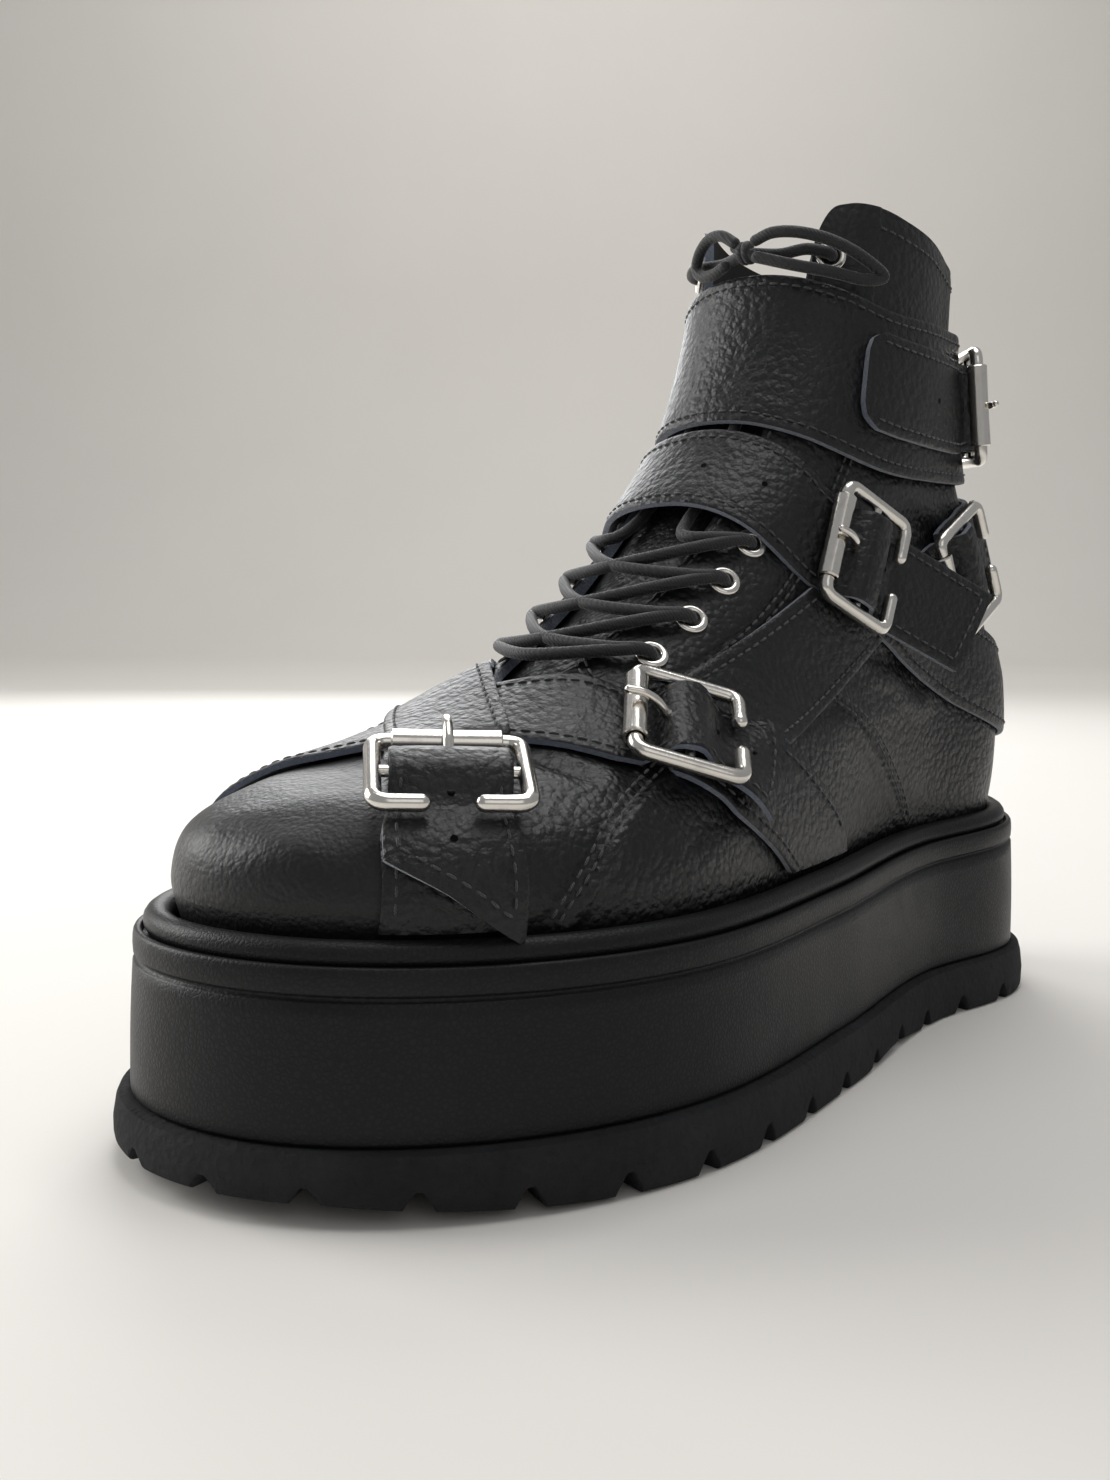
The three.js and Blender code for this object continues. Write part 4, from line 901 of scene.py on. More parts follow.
def crossing(route, other):
    """Length on a route where it comes nearest to another route."""
    lengths = np.linspace(0, route.end, 240)
    line = last_point(*other.at(np.linspace(0, other.end, 240)))
    gaps = [np.linalg.norm(line - last_point(*route.at(s)), axis=1).min() for s in lengths]
    return lengths[int(np.argmin(gaps))]


def clear_of(route, other, stop, leaving):
    """Where a strap leaves, or meets, another that lies in its way, as a function of the share across it."""
    share = np.linspace(-1, 1, ACROSS)
    s = np.arange(0, stop, 0.4)
    grid = last_point(*route.beside(s[:, None], share[None] * STRAP_WIDTH / 2))
    line = last_point(other.places[:, 0], other.places[:, 1])
    gap = np.linalg.norm(grid[:, :, None] - line[None, None], axis=-1).min(-1)
    found = []
    for column in gap.T:
        covered = np.where(column <= STRAP_WIDTH / 2 + 2 * CLEAR)[0]
        if len(covered) == 0:
            found.append(0 if leaving else stop)
        else:
            found.append(s[covered[-1] + 1] if leaving else s[covered[0]])
    return lambda x: np.interp(x, share, found)


class BOOT_OT_straps(bpy.types.Operator):
    """Cuts the toe, vamp, ankle, heel, rear and cross straps, with stitching and punched holes"""

    bl_idname = "boot.straps"
    bl_label = "Straps"

    def execute(self, context):
        ways, seats = routes()
        over = crossing(ways["toe"], ways["vamp"])
        reach = STRAP_WIDTH * HUMP_REACH

        def hump(x):
            up = smooth(x, over - reach - HUMP_RUN_IN, over - reach)
            down = smooth(x, over + reach, over + reach + HUMP_RUN_OUT)
            return HUMP_RISE * (up * (1 - down))

        # Name, the tip's near and far corner past the bar, spare height over the bar, what it climbs.
        for name, near, far, spare, more in (
                ("toe", 18.4, 31, 0.4, hump),
                ("vamp", 20, 26.5, 0.0, steady(0.0))):
            way, seat = ways[name], seats[name]
            end = slanted(seat.s + near, seat.s + far)
            raised = seat.threaded(spare)
            lift = lambda x, e=end(0.0), r=raised, m=more: r(x) + TIP_LIFT * smooth(x, e - 16, e - 3) + m(x)
            start = welt_meet(way, 0, way.marks[2], False)
            strap(f"{name}_strap_end", f"{name}_strap", way, start, end, lift,
                  (seat.s + 7, seat.s + 15.5), seat=seat)
            strap(f"{name}_strap_base", f"{name}_strap_anchor", way, seat.s - BASE_START,
                  welt_meet(way, way.marks[10], way.end, True), STRAP_CLEAR, base=seat.s)

        way, seat = ways["ankle"], seats["ankle"]
        raised = seat.threaded()

        def over_tongue(x):
            return raised(x) + TONGUE_LIFT * (1 - smooth(np.abs(way.at(x)[0]) / DEG, 46, 60))
        strap("ankle_strap_end", "ankle_strap", way, 0.0, slanted(seat.s + 42, seat.s + 49), over_tongue,
              (seat.s - 46, seat.s - 31, seat.s + HOLE_PAST), seat=seat, rise=LOOSE_RISE)
        strap("heel_strap_band", "heel_strap", way, seat.s - BASE_START, way.end, STRAP_CLEAR, base=seat.s)

        rear, rear_seat = ways["rear"], seats["rear"]
        first = clear_of(rear, way, rear_seat.s + 8, True)
        strap("rear_strap_end", "rear_strap", rear, first, slanted(rear_seat.s + 25, rear_seat.s + 22),
              rear_seat.threaded(), (rear_seat.s + HOLE_PAST,), seat=rear_seat)
        strap("rear_strap_base", "rear_strap_anchor", rear,
              lambda x: np.maximum(first(x), rear_seat.s - BASE_START), rear.end, STRAP_CLEAR,
              base=rear_seat.s)

        cross = ways["cross"]
        strap("cross_strap_band", "cross_strap", cross, clear_of(cross, ways["vamp"], cross.end, True),
              clear_of(cross, way, cross.end, False), STRAP_CLEAR)
        return {"FINISHED"}


class BOOT_OT_cuff(bpy.types.Operator):
    """Wraps the cuff round the shaft, with its tab, strap and stitching"""

    bl_idname = "boot.cuff"
    bl_label = "Cuff"

    def execute(self, context):
        ways, seats = routes()
        cuff, way, seat = ways["cuff"], ways["tab"], seats["cuff"]
        strap("cuff_band", "cuff", cuff, 0.0, cuff.end, CUFF_CLEAR, width=CUFF_HEIGHT, thick=CUFF, crown=0.25)
        strap("cuff_strap_end", "cuff_strap", way, lambda share: 5 * np.abs(share) ** 7,
              lambda share: way.marks[6] - 5 * np.abs(share) ** 1.5, seat.threaded(),
              (seat.s - 30, seat.s + HOLE_PAST), seat=seat)
        strap("cuff_strap_base", "cuff_strap_anchor", way, seat.s - BASE_START, way.end, CUFF_LAYER,
              base=seat.s)
        return {"FINISHED"}


class BOOT_OT_buckles(bpy.types.Operator):
    """Sets the five buckles on their straps"""

    bl_idname = "boot.buckles"
    bl_label = "Buckles"

    def execute(self, context):
        for name, seat in routes()[1].items():
            buckle(name, seat)
        return {"FINISHED"}


# Sole

def level(angle, offset, height):
    """One level of the sole: an offset of the welt outline at a height along it."""
    plan = outline(angle, offset)
    z = height(plan[..., 1]) if callable(height) else np.full(plan.shape[:-1], float(height))
    return np.concatenate([plan, z[..., None]], -1)


class BOOT_OT_sole(bpy.types.Operator):
    """Moulds the lugged outsole, the wrapped platform and the welt bead, and dresses the insole"""

    bl_idname = "boot.sole"
    bl_label = "Sole"

    def execute(self, context):
        self.outsole()
        self.platform()
        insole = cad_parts["insole"]
        insole.data.materials.clear()
        insole.data.materials.append(FINISHES["lining"].material)
        return {"FINISHED"}

    def outsole(self):
        reach = RIM_REACH + TREAD_REACH
        fine = -np.pi + 2 * np.pi * np.arange(1441) / 1440
        edge = outline(fine, reach)
        lengths = walked(edge)
        count = round(lengths[-1] / NOTCH_PITCH)
        pitch = lengths[-1] / count
        root, mouth = NOTCH_ROOT / 2, NOTCH_WIDTH / 2
        marks = np.array([-mouth - NOTCH_EDGE, -mouth, -root, 0, root, mouth, mouth + NOTCH_EDGE])
        rest = np.linspace(mouth + 1.2, pitch - mouth - 1.2, 7)
        s = np.concatenate([(k + 0.5) * pitch + np.concatenate([marks, rest]) for k in range(count)])
        beside = (s - 0.5 * pitch) % pitch
        beside = np.minimum(beside, pitch - beside)
        angle = np.interp(s % lengths[-1], lengths, fine)
        notch = LUG * np.clip((mouth - beside) / (mouth - root), 0, 1)
        top = along_last(TREAD_LINE, outline(angle, reach)[:, 1])

        wall = []
        for inward, z in ((3, top), (1.2, top - 0.5), (0.6, top - 2.5), (0, 6 + 0 * top),
                          (0.05, np.maximum(notch, 2.5)), (0.2, np.maximum(notch, 1.2)),
                          (0.6, np.maximum(notch, 0.35)), (1.2, notch)):
            wall.append(np.column_stack([outline(angle, reach - inward), z]))
        depths = (2.5, 6, 10, 13.5, 14.9, 15.0, 18.5, MIDDLE_FIELD, 22, 28)
        for depth in depths:
            plan = outline(angle, reach - depth)
            z = np.where(depth < NOTCH_LENGTH - 2.1, notch, 0)
            if 15.0 <= depth <= 18.5:
                z = np.full(len(angle), LUG - 0.5)
            wall.append(np.column_stack([plan, self.slots(plan[:, 1], depth, z)]))
        inner = wall[-1]
        mirror = outline(-angle, reach - depths[-1])
        for share in (0.2, 0.45, 0.7, 1.0):
            plan = inner[:, :2] + (mirror - inner[:, :2]) * share / 2
            wall.append(np.column_stack([plan, self.slots(plan[:, 1], 40, np.zeros(len(angle)))]))
        points = np.array(wall)
        y, z = points[..., 1], points[..., 2]
        line = along_last(TREAD_LINE, y)
        t = (y + LAST_LENGTH / 2) / LAST_LENGTH
        toe = TOE_SPRING * np.maximum(0, 1 - np.maximum(t, 0) / SPRING_SHARE) ** 2
        waist = ARCH_LIFT * np.cos(np.clip((t - 0.63) / 0.09, -1, 1) * 90 * DEG) ** 2
        points[..., 2] = z + (toe + waist) * np.clip(1 - z / line, 0, 1)
        form = Form()
        form.grid(points, loop=True)
        lid = [level(angle, reach - 3 - d, lambda y: along_last(TREAD_LINE, y)) for d in (0, 6)]
        form.grid(np.array(lid[::-1]), loop=True)
        put("outsole_unit", form, [FINISHES["tread"]], ["outsole"], 28)

    def slots(self, y, depth, z):
        """Cross slots of the middle field."""
        if depth < MIDDLE_FIELD:
            return z
        first = -LAST_LENGTH / 2 + 12
        beside = np.abs((y - first + SLOT_PITCH / 2) % SLOT_PITCH - SLOT_PITCH / 2)
        return np.where(beside < SLOT_WIDTH / 2, LUG - 0.5, z)

    def platform(self):
        angle = ring(420, -np.pi)
        foot = RIM_REACH + SIDE_FLARE
        rim = lambda drop: lambda y: along_last(RIM, y) - drop
        low = lambda rise: lambda y: along_last(TREAD_LINE, y) + CLEAR + rise
        between = lambda f: lambda y: low(0.8)(y) + (rim(SIDE_GROOVE + 1.3)(y) - low(0.8)(y)) * f
        reach = RIM_REACH
        steps = [(foot - 2.5, low(0)), (foot - 0.6, low(0)), (foot - 0.15, low(0.25)), (foot, low(0.8))]
        steps += [(foot + (reach + 0.25 - foot) * f + 0.22 * math.sin(math.pi * f), between(f))
                  for f in (0.15, 0.3, 0.45, 0.6, 0.75, 0.9)]
        groove = ((0.25, 1.3), (-0.1, 0.95), (-0.55, 0.7), (0.1 - GROOVE_DEPTH, 0.3), (-0.55, -0.1),
                  (-0.1, -0.35), (0.12, -0.7))
        steps += [(reach + aside, rim(SIDE_GROOVE + drop)) for aside, drop in groove]
        lip = ((0.22, 3.2), (0.15, 1.6), (0, 0.7), (-0.25, 0.2), (-0.6, 0), (0.25 - LIP, 0), (-LIP, 0.25),
               (-LIP, TROUGH))
        steps += [(reach + aside, rim(drop)) for aside, drop in lip]
        steps.append((-6.0, rim(TROUGH)))
        form = Form()
        form.grid(np.array([level(angle, offset, height) for offset, height in steps]), loop=True)
        put("platform_wall", form, [FINISHES["wall"]], ["midsole"], 50)
        form = Form()
        seat = WELT_RADIUS + CLEAR - TROUGH
        rings = [level(angle, WELT_REACH + WELT_RADIUS * math.cos(turn),
                       lambda y, h=math.sin(turn): along_last(RIM, y) + seat + WELT_RADIUS * h)
                 for turn in 2 * np.pi * np.arange(17) / 16]
        form.grid(np.array(rings), loop=True)
        put("welt_bead", form, [FINISHES["wall"]], ["welt"])


# Upper

# The first row of the upper that the throat cuts, and the least v of the eyestays.
THROAT_ROW = 0.5222
EYESTAY_LOW = 0.44

# Heights of what lies on the upper and how much it thins at its rims, millimetres.
EYESTAY_THICK = 0.45
BACK_STAY_THICK = 0.5
COLLAR_THINNER = 0.35
THROAT_THINNER = 0.3
SEAM_RIDGE = 1.5
SEAM_RIDGE_WIDE = 1.2

# Lines of the upper, degrees round and v, for its outer side; the inner side mirrors them.
EYESTAY_EDGE = ((13, 0.533), (18, 0.508), (25, 0.483), (32, 0.463), (39, 0.458), (46, 0.475), (52, 0.515),
                (56, 0.57), (59, 0.64), (61, 0.72), (62, 0.80))
QUARTER_EDGE = ((49, 0.03), (50.5, 0.06), (54, 0.12), (57, 0.18), (60.5, 0.245), (63, 0.30), (64, 0.345))
COUNTER_EDGE = ((84, 0.395), (88, 0.345), (95, 0.285), (103, 0.215), (109, 0.15), (114, 0.09), (118, 0.03))
BACK_STAY = ((166, 0.03), (166.5, 0.25), (167, 0.50), (166, 0.75), (164, 0.935))

# Creases where the foot bends, degrees and v; then half width and depth in millimetres.
CREASES = (
    (((2, 0.395), (20, 0.375), (36, 0.335), (48, 0.28)), 2.6, 0.8),
    (((-40, 0.315), (-20, 0.365), (-2, 0.39)), 2.6, 0.7),
    (((30, 0.42), (44, 0.405), (56, 0.385), (66, 0.35)), 2.4, 0.7),
    (((58, 0.40), (66, 0.43), (74, 0.44), (84, 0.43)), 3.0, 0.9),
    (((88, 0.47), (98, 0.42), (108, 0.37), (116, 0.31)), 3.2, 0.9),
    (((96, 0.58), (108, 0.53), (120, 0.47), (132, 0.42)), 3.0, 0.8),
    (((70, 0.62), (84, 0.64), (100, 0.63), (118, 0.59)), 3.2, 0.7),
    (((-64, 0.42), (-78, 0.44), (-94, 0.42), (-110, 0.37)), 3.2, 0.9),
    (((-90, 0.54), (-106, 0.52), (-124, 0.46)), 3.2, 0.9),
    (((-60, 0.58), (-78, 0.56), (-96, 0.50)), 2.8, 0.7),
    (((66, 0.14), (74, 0.17), (82, 0.16)), 3.4, 0.5),
    (((4, 0.17), (14, 0.20), (22, 0.17)), 4.5, 0.35),
    (((80, 0.72), (104, 0.70), (130, 0.67)), 3.0, 0.5),
)


def line_on_last(points, side=1, per=10, lift=0.0):
    """A line of degrees and v laid on the last: its points and the ways out of it."""
    line = spline([(d / 100, v) for d, v in points], per)
    angle, v = line[:, 0] * 100 * DEG * side, line[:, 1]
    return on_last(angle, v, lift), last_normal(angle, v)


def nearest(points, line):
    """Distance of each point from a line given by close points."""
    best = np.full(len(points), 1e9)
    for spot in line:
        best = np.minimum(best, np.sum((points - spot) ** 2, -1))
    return np.sqrt(best)


def creased(points, size):
    """How far the leather sinks into its creases and swells beside them."""
    flat = points.reshape(-1, 3)
    sink = np.zeros(len(flat))
    for line, wide, deep in CREASES:
        gap = nearest(flat, line_on_last(line, 1, 14)[0]) / wide
        sink += size * deep * (0.55 * np.exp(-((gap - 1.9) / 0.9) ** 2) - np.exp(-gap ** 2))
    gap = nearest(flat, line_on_last(QUARTER_EDGE, 1, 14)[0])
    sink += SEAM_RIDGE * np.exp(-(gap / SEAM_RIDGE_WIDE) ** 2)
    return sink.reshape(points.shape[:-1])


class BOOT_OT_upper(bpy.types.Operator):
    """Lasts the upper: vamp, quarters, counter, eyestays and collar in one shell, with seams and creases"""

    bl_idname = "boot.upper"
    bl_label = "Upper"

    def execute(self, context):
        share = np.concatenate([np.linspace(0, 0.16, 52)[:-1], np.linspace(0.16, 1, 165)])
        rows = np.concatenate([np.linspace(0, 0.515, 92), np.linspace(THROAT_ROW, 0.56, 14)[:-1],
                               np.linspace(0.56, 0.97, 60)[:-1], np.linspace(0.97, 1, 8)])
        throat = np.array(THROAT)
        collar = spline(COLLAR, 12)
        edge = np.full(len(rows), 10.0)
        for _ in range(40):
            v = rows * np.interp(edge, collar[:, 0], collar[:, 1])
            edge = 0.5 * edge + 0.5 * np.interp(v, throat[:, 0], throat[:, 1])
        edge = np.where(rows < THROAT_ROW, 0, edge)
        degrees = edge[:, None] + (180 - edge[:, None]) * share[None]
        v = rows[:, None] * np.interp(degrees, collar[:, 0], collar[:, 1])
        sheets = []
        for side in (1, -1):
            angle = degrees * DEG * side
            face = last_point(angle, v)
            out = last_normal(angle, v)
            lift = relief(angle, v, 1.1) + self.overlays(degrees, v)
            lift += creased(face, context.scene.boot_sizes.crease_depth)
            lift += self.roll(rows, edge, degrees)
            seat = lambda y: along_last(RIM, y) - TROUGH + CLEAR
            top, inner = (np.concatenate([level(angle[0], offset, seat)[None], sheet]) for offset, sheet in (
                (0.0, face + out * lift[..., None]), (-WALL, on_last(angle, v, -WALL))))
            sheets.append((top, inner) if side == 1 else (top[:, ::-1], inner[:, ::-1]))
        form = Form()
        open_row = 1 + int(np.argmax(rows >= THROAT_ROW))
        for (top, inner), column in zip(sheets, (0, -1)):
            form.grid(top, 0)
            form.grid(inner[:, ::-1], 1)
            for a, b in ((top[-1], inner[-1]), (top[open_row - 1:, column], inner[open_row - 1:, column])):
                swell = np.stack([a, (a * 0.75 + b * 0.25), (a + b) / 2, a * 0.25 + b * 0.75, b])
                form.grid(swell, 2)
            form.grid(np.stack([top[0], inner[0]]), 1)
        put("upper_shell", form, [FINISHES["hide"], FINISHES["lining"], FINISHES["suede"]],
            ["upper"], 50)
        self.seams()
        return {"FINISHED"}

    def overlays(self, degrees, v):
        """Eyestay and back stay, laid over the quarters."""
        line = spline(EYESTAY_EDGE, 12)
        edge = np.interp(v, line[12 * 4:, 1], line[12 * 4:, 0])
        low = np.interp(degrees, line[:12 * 4 + 1, 0], line[:12 * 4 + 1, 1])
        stay = smooth(v, low - 0.004, low + 0.004) * (1 - smooth(degrees, edge - 0.9, edge + 0.9))
        back = smooth(degrees, 165.6, 167.0) * (1 - smooth(v, 0.93, 0.94))
        return EYESTAY_THICK * stay * (v > EYESTAY_LOW) + BACK_STAY_THICK * back

    def roll(self, rows, edge, degrees):
        """The leather thins towards the collar and the throat's cut edge."""
        top = COLLAR_THINNER * smooth(rows, 0.985, 1.0)[:, None]
        side = np.where(edge[:, None] > 0, THROAT_THINNER * (1 - smooth(degrees - edge[:, None], 0, 1.6)), 0)
        return -top - side

    def seams(self):
        """Rows of stitches beside the overlays' edges."""
        thread = Form()
        rows = ((EYESTAY_EDGE, (-1.9, -3.9), 0.5), (QUARTER_EDGE, (1.9, 3.9), 0.8),
                (COUNTER_EDGE, (2.0, 4.2), 0.8), (BACK_STAY, (2.2,), 0.9))
        throat = [(degrees + 3.2, v) for v, degrees in THROAT[4:-1]]
        top = [(degrees, v - 0.018) for degrees, v in COLLAR[4:]]
        for side in (1, -1):
            for points, gaps, lift in rows:
                line, out = line_on_last(points, side, 16)
                aside = unit(np.cross(unit(np.gradient(line, axis=0)), out))
                for gap in gaps:
                    thread.stitches(line + aside * gap * (-side) + out * (lift - SEAM_SINKS), out)
            for points, lift in ((throat, 0.42), (top, 0.02)):
                thread.stitches(*line_on_last(points, side, 12, lift))
        put("upper_stitches", thread, [FINISHES["thread"]])


class BOOT_OT_tongue(bpy.types.Operator):
    """Pads the tongue behind the lacing"""

    bl_idname = "boot.tongue"
    bl_label = "Tongue"

    def execute(self, context):
        outer = -(WALL + STRAP_CLEAR + 0.1)
        row = np.linspace(0, 1, 70)[:, None]
        share = np.linspace(-1, 1, 49)[None]
        v = TONGUE_LOW + (TONGUE_HIGH - TONGUE_LOW) * row
        half = (30 + 14 * row) * DEG
        rim = np.maximum(np.abs(share) ** 8, smooth(row, 0.965, 1.0) ** 2)
        wave = 0.25 * np.sin(row * 34) * (1 - share ** 2) * smooth(row, 0.1, 0.3)
        face = on_last(share * half, v + 0 * share, outer - 1.3 * rim - 0.3 + wave)
        back = on_last(share * half, v + 0 * share, outer - TONGUE + 0.9 * rim)
        form = Form()
        form.slab(face, back, 0, 1, 0)
        put("tongue_pad", form, [FINISHES["hide"], FINISHES["lining"]], ["tongue"], 50)
        return {"FINISHED"}


# Eyelets and lace

class BOOT_OT_eyelets(bpy.types.Operator):
    """Sets the rolled metal eyelets"""

    bl_idname = "boot.eyelets"
    bl_label = "Eyelets"

    def execute(self, context):
        hole, base, rim = EYELET_HOLE, EYELET_SEAT, EYELET_RIM
        profile = [(hole, -WALL), (hole + 0.6, -WALL), (hole + 0.6, base), (EYELET - 0.1, base),
                   (EYELET, base + 0.12)]
        profile += [(EYELET - 1.0 + 1.0 * math.cos(a), base + 0.15 + (rim - 0.15) * math.sin(a))
                    for a in np.linspace(10, 90, 6) * DEG]
        profile += [(hole + 0.55, base + rim - 0.04), (hole + 0.2, base + rim - 0.25), (hole, base + 0.2)]
        for side, word in ((1, "outer"), (-1, "inner")):
            for k, (degrees, v) in enumerate(EYELETS):
                angle = degrees * DEG * side
                form = Form()
                form.lathe(profile, on_last(angle, v, 0.0), last_normal(angle, v))
                name = f"eyelet_{word}_{k + 1}"
                put(f"{name}_ring", form, [FINISHES["metal"]], [name], 50)
        return {"FINISHED"}


class BOOT_OT_lace(bpy.types.Operator):
    """Threads the lace through the eyelets and ties its bow"""

    bl_idname = "boot.lace"
    bl_label = "Lace"

    def execute(self, context):
        over = EYELET_SEAT + EYELET_RIM + CLEAR + LACE + 0.15
        ridge = LACE + STRAP_CLEAR

        def strand(places):
            form.sweep(spline([on_last(d * DEG, v, lift) for d, v, lift in places], 8), LACE)

        def leg(spot, mid):
            d, v = spot
            s = math.copysign(1, d)
            return [(d, v, -1.6), (d - 0.4 * s, v, 1.2), (d - 3.2 * s, v * 0.96 + mid * 0.04, over - 0.35),
                    (d - 10 * s, v * 0.85 + mid * 0.15, over - 0.1)]
        form = Form()
        pairs = [(EYELETS[0], (-EYELETS[0][0], EYELETS[0][1]))]
        for low, high in zip(EYELETS[:3], EYELETS[1:4]):
            pairs += [(low, (-high[0], high[1])), ((-low[0], low[1]), high)]
        for a, b in pairs:
            mid = (a[1] + b[1]) / 2
            strand(leg(a, mid) + [(0, mid, ridge + 0.3)] + leg(b, mid)[::-1])
        deep = -1.2
        last = EYELETS[3]
        for side in (1, -1):
            run = [(last[0], last[1], -1.6), (last[0] - 0.4, last[1], 1.2), (last[0] - 4, 0.6365, over - 0.3),
                   (32, 0.639, over - 0.1), (22, 0.645, 2.0), (16, 0.655, 0.5), (13.5, 0.675, -0.7),
                   (13, 0.70, deep), (13, 0.80, deep), (13, 0.915, deep)]
            strand([(d * side, v, lift) for d, v, lift in run])
        put("lace_crossing_runs", form, [FINISHES["lace"]], ["lace_crossings"])

        centre = np.array(KNOT, float)
        form = Form()
        for side in (1, -1):
            d, v = EYELETS[4]
            inside = on_last(side * d * DEG, v, -1.6)
            end = on_last(side * d * DEG, v, 1.4)
            bend = on_last(side * (d - 3.0) * DEG, v + 0.001, over - 0.3)
            near = on_last(side * (d - 10) * DEG, v + 0.004, over)
            mid = (centre + near) / 2 + (0, 1.2, -0.6)
            form.sweep(spline([centre, mid, near, bend, end, inside], 10), LACE)
        turn = np.linspace(0, 1.9 * 2 * np.pi, 60)
        wrap = np.column_stack([1.5 * (turn / turn[-1] - 0.5) * 2, 1.5 * np.cos(turn), 1.75 * np.sin(turn)])
        form.sweep(centre + wrap, LACE * 0.88)
        form.sweep(centre + spline([(-3.4, -0.3, 1.7), (0, -1.2, 0.2), (3.5, -0.4, -1.6)], 8), LACE * 0.9)
        knot = put("lace_bow_knot", form, [FINISHES["lace"]], ["lace_knot"])
        for word, points in (("inner", INNER_LOOP), ("outer", OUTER_LOOP)):
            line = spline(points, 10)
            form = Form()
            form.sweep(line, LACE)
            loop = put(f"lace_bow_{word}", form, [FINISHES["lace"]], [f"lace_loop_{word}"])
        return {"FINISHED"}


# Stage

# Lamps: name, place in metres, side, watts and colour; then the sky's colour and strength.
LAMPS = (("key", (-1.15, -0.60, 0.62), 0.9, 14, (1, 0.99, 0.97)),
         ("fill", (1.25, -0.75, 0.85), 0.9, 1.5, (1, 0.97, 0.93)),
         ("top", (0.05, 0.15, 1.45), 0.9, 8, (1, 1, 1)),
         ("rim", (-1.0, 0.75, 0.75), 0.8, 8, (0.97, 0.98, 1)),
         ("backdrop", (-1.25, 1.3, 2.3), 1.4, 22, (1, 0.98, 0.95)))
SKY_COLOUR = (0.93, 0.94, 0.96, 1)
SKY_STRENGTH = 0.34
BACKDROP_AWAY = 3.3
BOOT_MIDDLE = (0, 0, 0.11)


class BOOT_OT_stage(bpy.types.Operator):
    """Sets the camera, the pale floor and the soft lights"""

    bl_idname = "boot.stage"
    bl_label = "Stage"

    def execute(self, context):
        scene = context.scene
        colours = scene.boot_colours
        lens = bpy.data.cameras.new("photo_camera")
        lens.sensor_fit = "HORIZONTAL"
        lens.sensor_width = SENSOR
        lens.lens = LENS
        camera = bpy.data.objects.new("photo_camera", lens)
        scene.collection.objects.link(camera)
        ahead = Vector((-math.sin(EYE_TURN) * math.cos(EYE_DIP), math.cos(EYE_TURN) * math.cos(EYE_DIP),
                        -math.sin(EYE_DIP)))
        right = Vector((math.cos(EYE_TURN), math.sin(EYE_TURN), 0))
        up = right.cross(ahead)
        side = right * math.cos(EYE_ROLL) + up * math.sin(EYE_ROLL)
        top = up * math.cos(EYE_ROLL) - right * math.sin(EYE_ROLL)
        axes = Matrix((side, top, -ahead)).transposed().to_4x4()
        camera.matrix_world = Matrix.Translation(Vector(EYE) * MM) @ axes
        scene.camera = camera

        tint = tuple(colours.floor)
        floor_finish = Finish("paper_floor", tint, 0.85, Specular_IOR_Level=0.2)
        mottle = floor_finish.noise(3.0, 3)
        floor_finish.set(Base_Color=floor_finish.mix(mottle, shade(tint, 0.97), shade(tint, 1.02)))
        reach, bend, high, near, half = 2.6, 0.9, 2.4, -2.2, 3.6
        turn = np.linspace(0, 90, 14) * DEG
        profile = [(near, 0)] + [(reach + bend * math.sin(a), bend * (1 - math.cos(a))) for a in turn]
        profile.append((reach + bend, high))
        away = Vector((-math.sin(EYE_TURN), math.cos(EYE_TURN), 0))
        points = [away * along + right * wide + Vector((0, 0, z))
                  for along, z in profile for wide in (-half, half)]
        faces = [(2 * k, 2 * k + 1, 2 * k + 3, 2 * k + 2) for k in range(len(profile) - 1)]
        mesh = bpy.data.meshes.new("studio_sweep")
        mesh.from_pydata(points, [], faces)
        mesh.materials.append(floor_finish.material)
        mesh.polygons.foreach_set("use_smooth", [True] * len(faces))
        sweep = bpy.data.objects.new("studio_sweep", mesh)
        scene.collection.objects.link(sweep)

        for name, spot, size, power, colour in LAMPS:
            light = bpy.data.lights.new(name, "AREA")
            light.shape = "SQUARE"
            light.size = size
            light.energy = power
            light.color = colour
            lamp = bpy.data.objects.new(name, light)
            lamp.location = spot
            aim = away * BACKDROP_AWAY if name == "backdrop" else Vector(BOOT_MIDDLE)
            lamp.rotation_euler = (aim - Vector(spot)).to_track_quat("-Z", "Y").to_euler()
            scene.collection.objects.link(lamp)
        world = bpy.data.worlds.new("studio")
        world.use_nodes = True
        sky = world.node_tree.nodes["Background"].inputs
        sky["Color"].default_value = SKY_COLOUR
        sky["Strength"].default_value = SKY_STRENGTH
        scene.world = world
        scene.view_settings.view_transform = "Standard"
        return {"FINISHED"}


def size(name, description, default, least):
    """A size in millimetres for the panel."""
    return FloatProperty(name=name, description=description, default=default, min=least)


class BootSizes(bpy.types.PropertyGroup):
    """Sizes of the fine work, in millimetres."""

    pebble: size("Pebble", "Width of a pebble of the leather's grain", 1.9, 0.3)
    crease_depth: size("Creases", "How strongly the leather creases", 1.0, 0)
    stitch_pitch: size("Stitch pitch", "From stitch to stitch", 3.0, 1)
    stitch_length: size("Stitch length", "Length of a stitch", 2.2, 0.5)
    thread_gauge: size("Thread", "Thickness of the thread", 0.62, 0.2)
    seam_inset: size("Seam inset", "From a strap's edge to its seam", 2.6, 1.5)


def tint(name, description, default):
    """A colour for the panel."""
    return FloatVectorProperty(name=name, description=description, subtype="COLOR", size=3, min=0, max=1,
                               default=default)


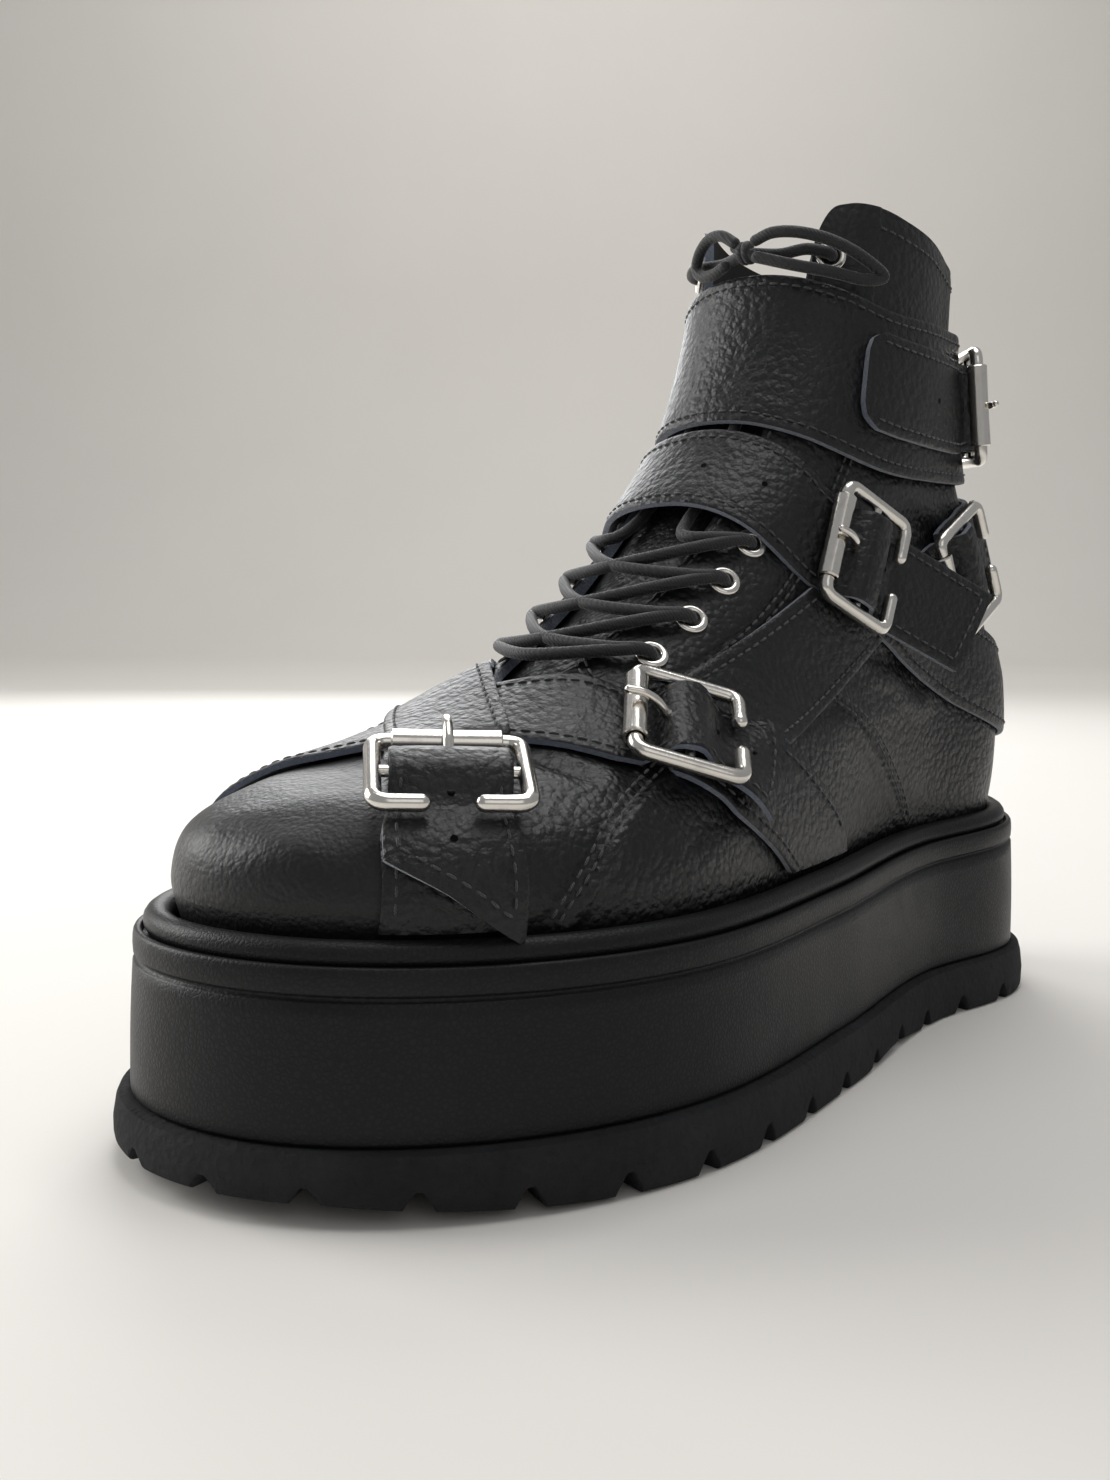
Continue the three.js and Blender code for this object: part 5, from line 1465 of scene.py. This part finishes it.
class BootColours(bpy.types.PropertyGroup):
    """Colours of the boot's materials and of the floor."""

    leather: tint("Leather", "Upper and straps", (0.0058, 0.0061, 0.0070))
    suede: tint("Cut edges", "Napped edges of the leather", (0.10, 0.118, 0.16))
    lining: tint("Lining", "Inside of the boot", (0.022, 0.02, 0.019))
    metal: tint("Metal", "Buckles and eyelets", (0.74, 0.71, 0.66))
    thread: tint("Thread", "Seams", (0.03, 0.031, 0.034))
    lace: tint("Lace", "Braided lace", (0.009, 0.0094, 0.011))
    platform: tint("Platform", "Wrapped wall of the sole", (0.0065, 0.0068, 0.0078))
    tread: tint("Tread", "Lugged outsole", (0.011, 0.0114, 0.0125))
    floor: tint("Floor", "Studio floor", (0.80, 0.775, 0.735))


class BOOT_PT_panel(bpy.types.Panel):
    """Lists the boot's pieces, sizes and colours"""

    bl_label = "Platform Boot"
    bl_idname = "BOOT_PT_panel"
    bl_space_type = "VIEW_3D"
    bl_region_type = "UI"
    bl_category = "Boot"

    def draw(self, context):
        for operator in OPERATORS:
            self.layout.operator(operator.bl_idname)
        for group in (context.scene.boot_sizes, context.scene.boot_colours):
            for name in group.__annotations__:
                self.layout.prop(group, name)


OPERATORS = (BOOT_OT_stage, BOOT_OT_lace, BOOT_OT_sole, BOOT_OT_upper, BOOT_OT_tongue, BOOT_OT_straps,
             BOOT_OT_cuff, BOOT_OT_buckles, BOOT_OT_eyelets)
CLASSES = (BootSizes, BootColours, *OPERATORS, BOOT_PT_panel)


def register():
    for cls in CLASSES:
        bpy.utils.register_class(cls)
    bpy.types.Scene.boot_sizes = PointerProperty(type=BootSizes)
    bpy.types.Scene.boot_colours = PointerProperty(type=BootColours)


def unregister():
    del bpy.types.Scene.boot_colours
    del bpy.types.Scene.boot_sizes
    for cls in reversed(CLASSES):
        bpy.utils.unregister_class(cls)


def main():
    """Builds every piece."""
    register()
    make_finishes()
    for operator in OPERATORS:
        group, name = operator.bl_idname.split(".")
        getattr(getattr(bpy.ops, group), name)()


if __name__ == "__main__":
    main()
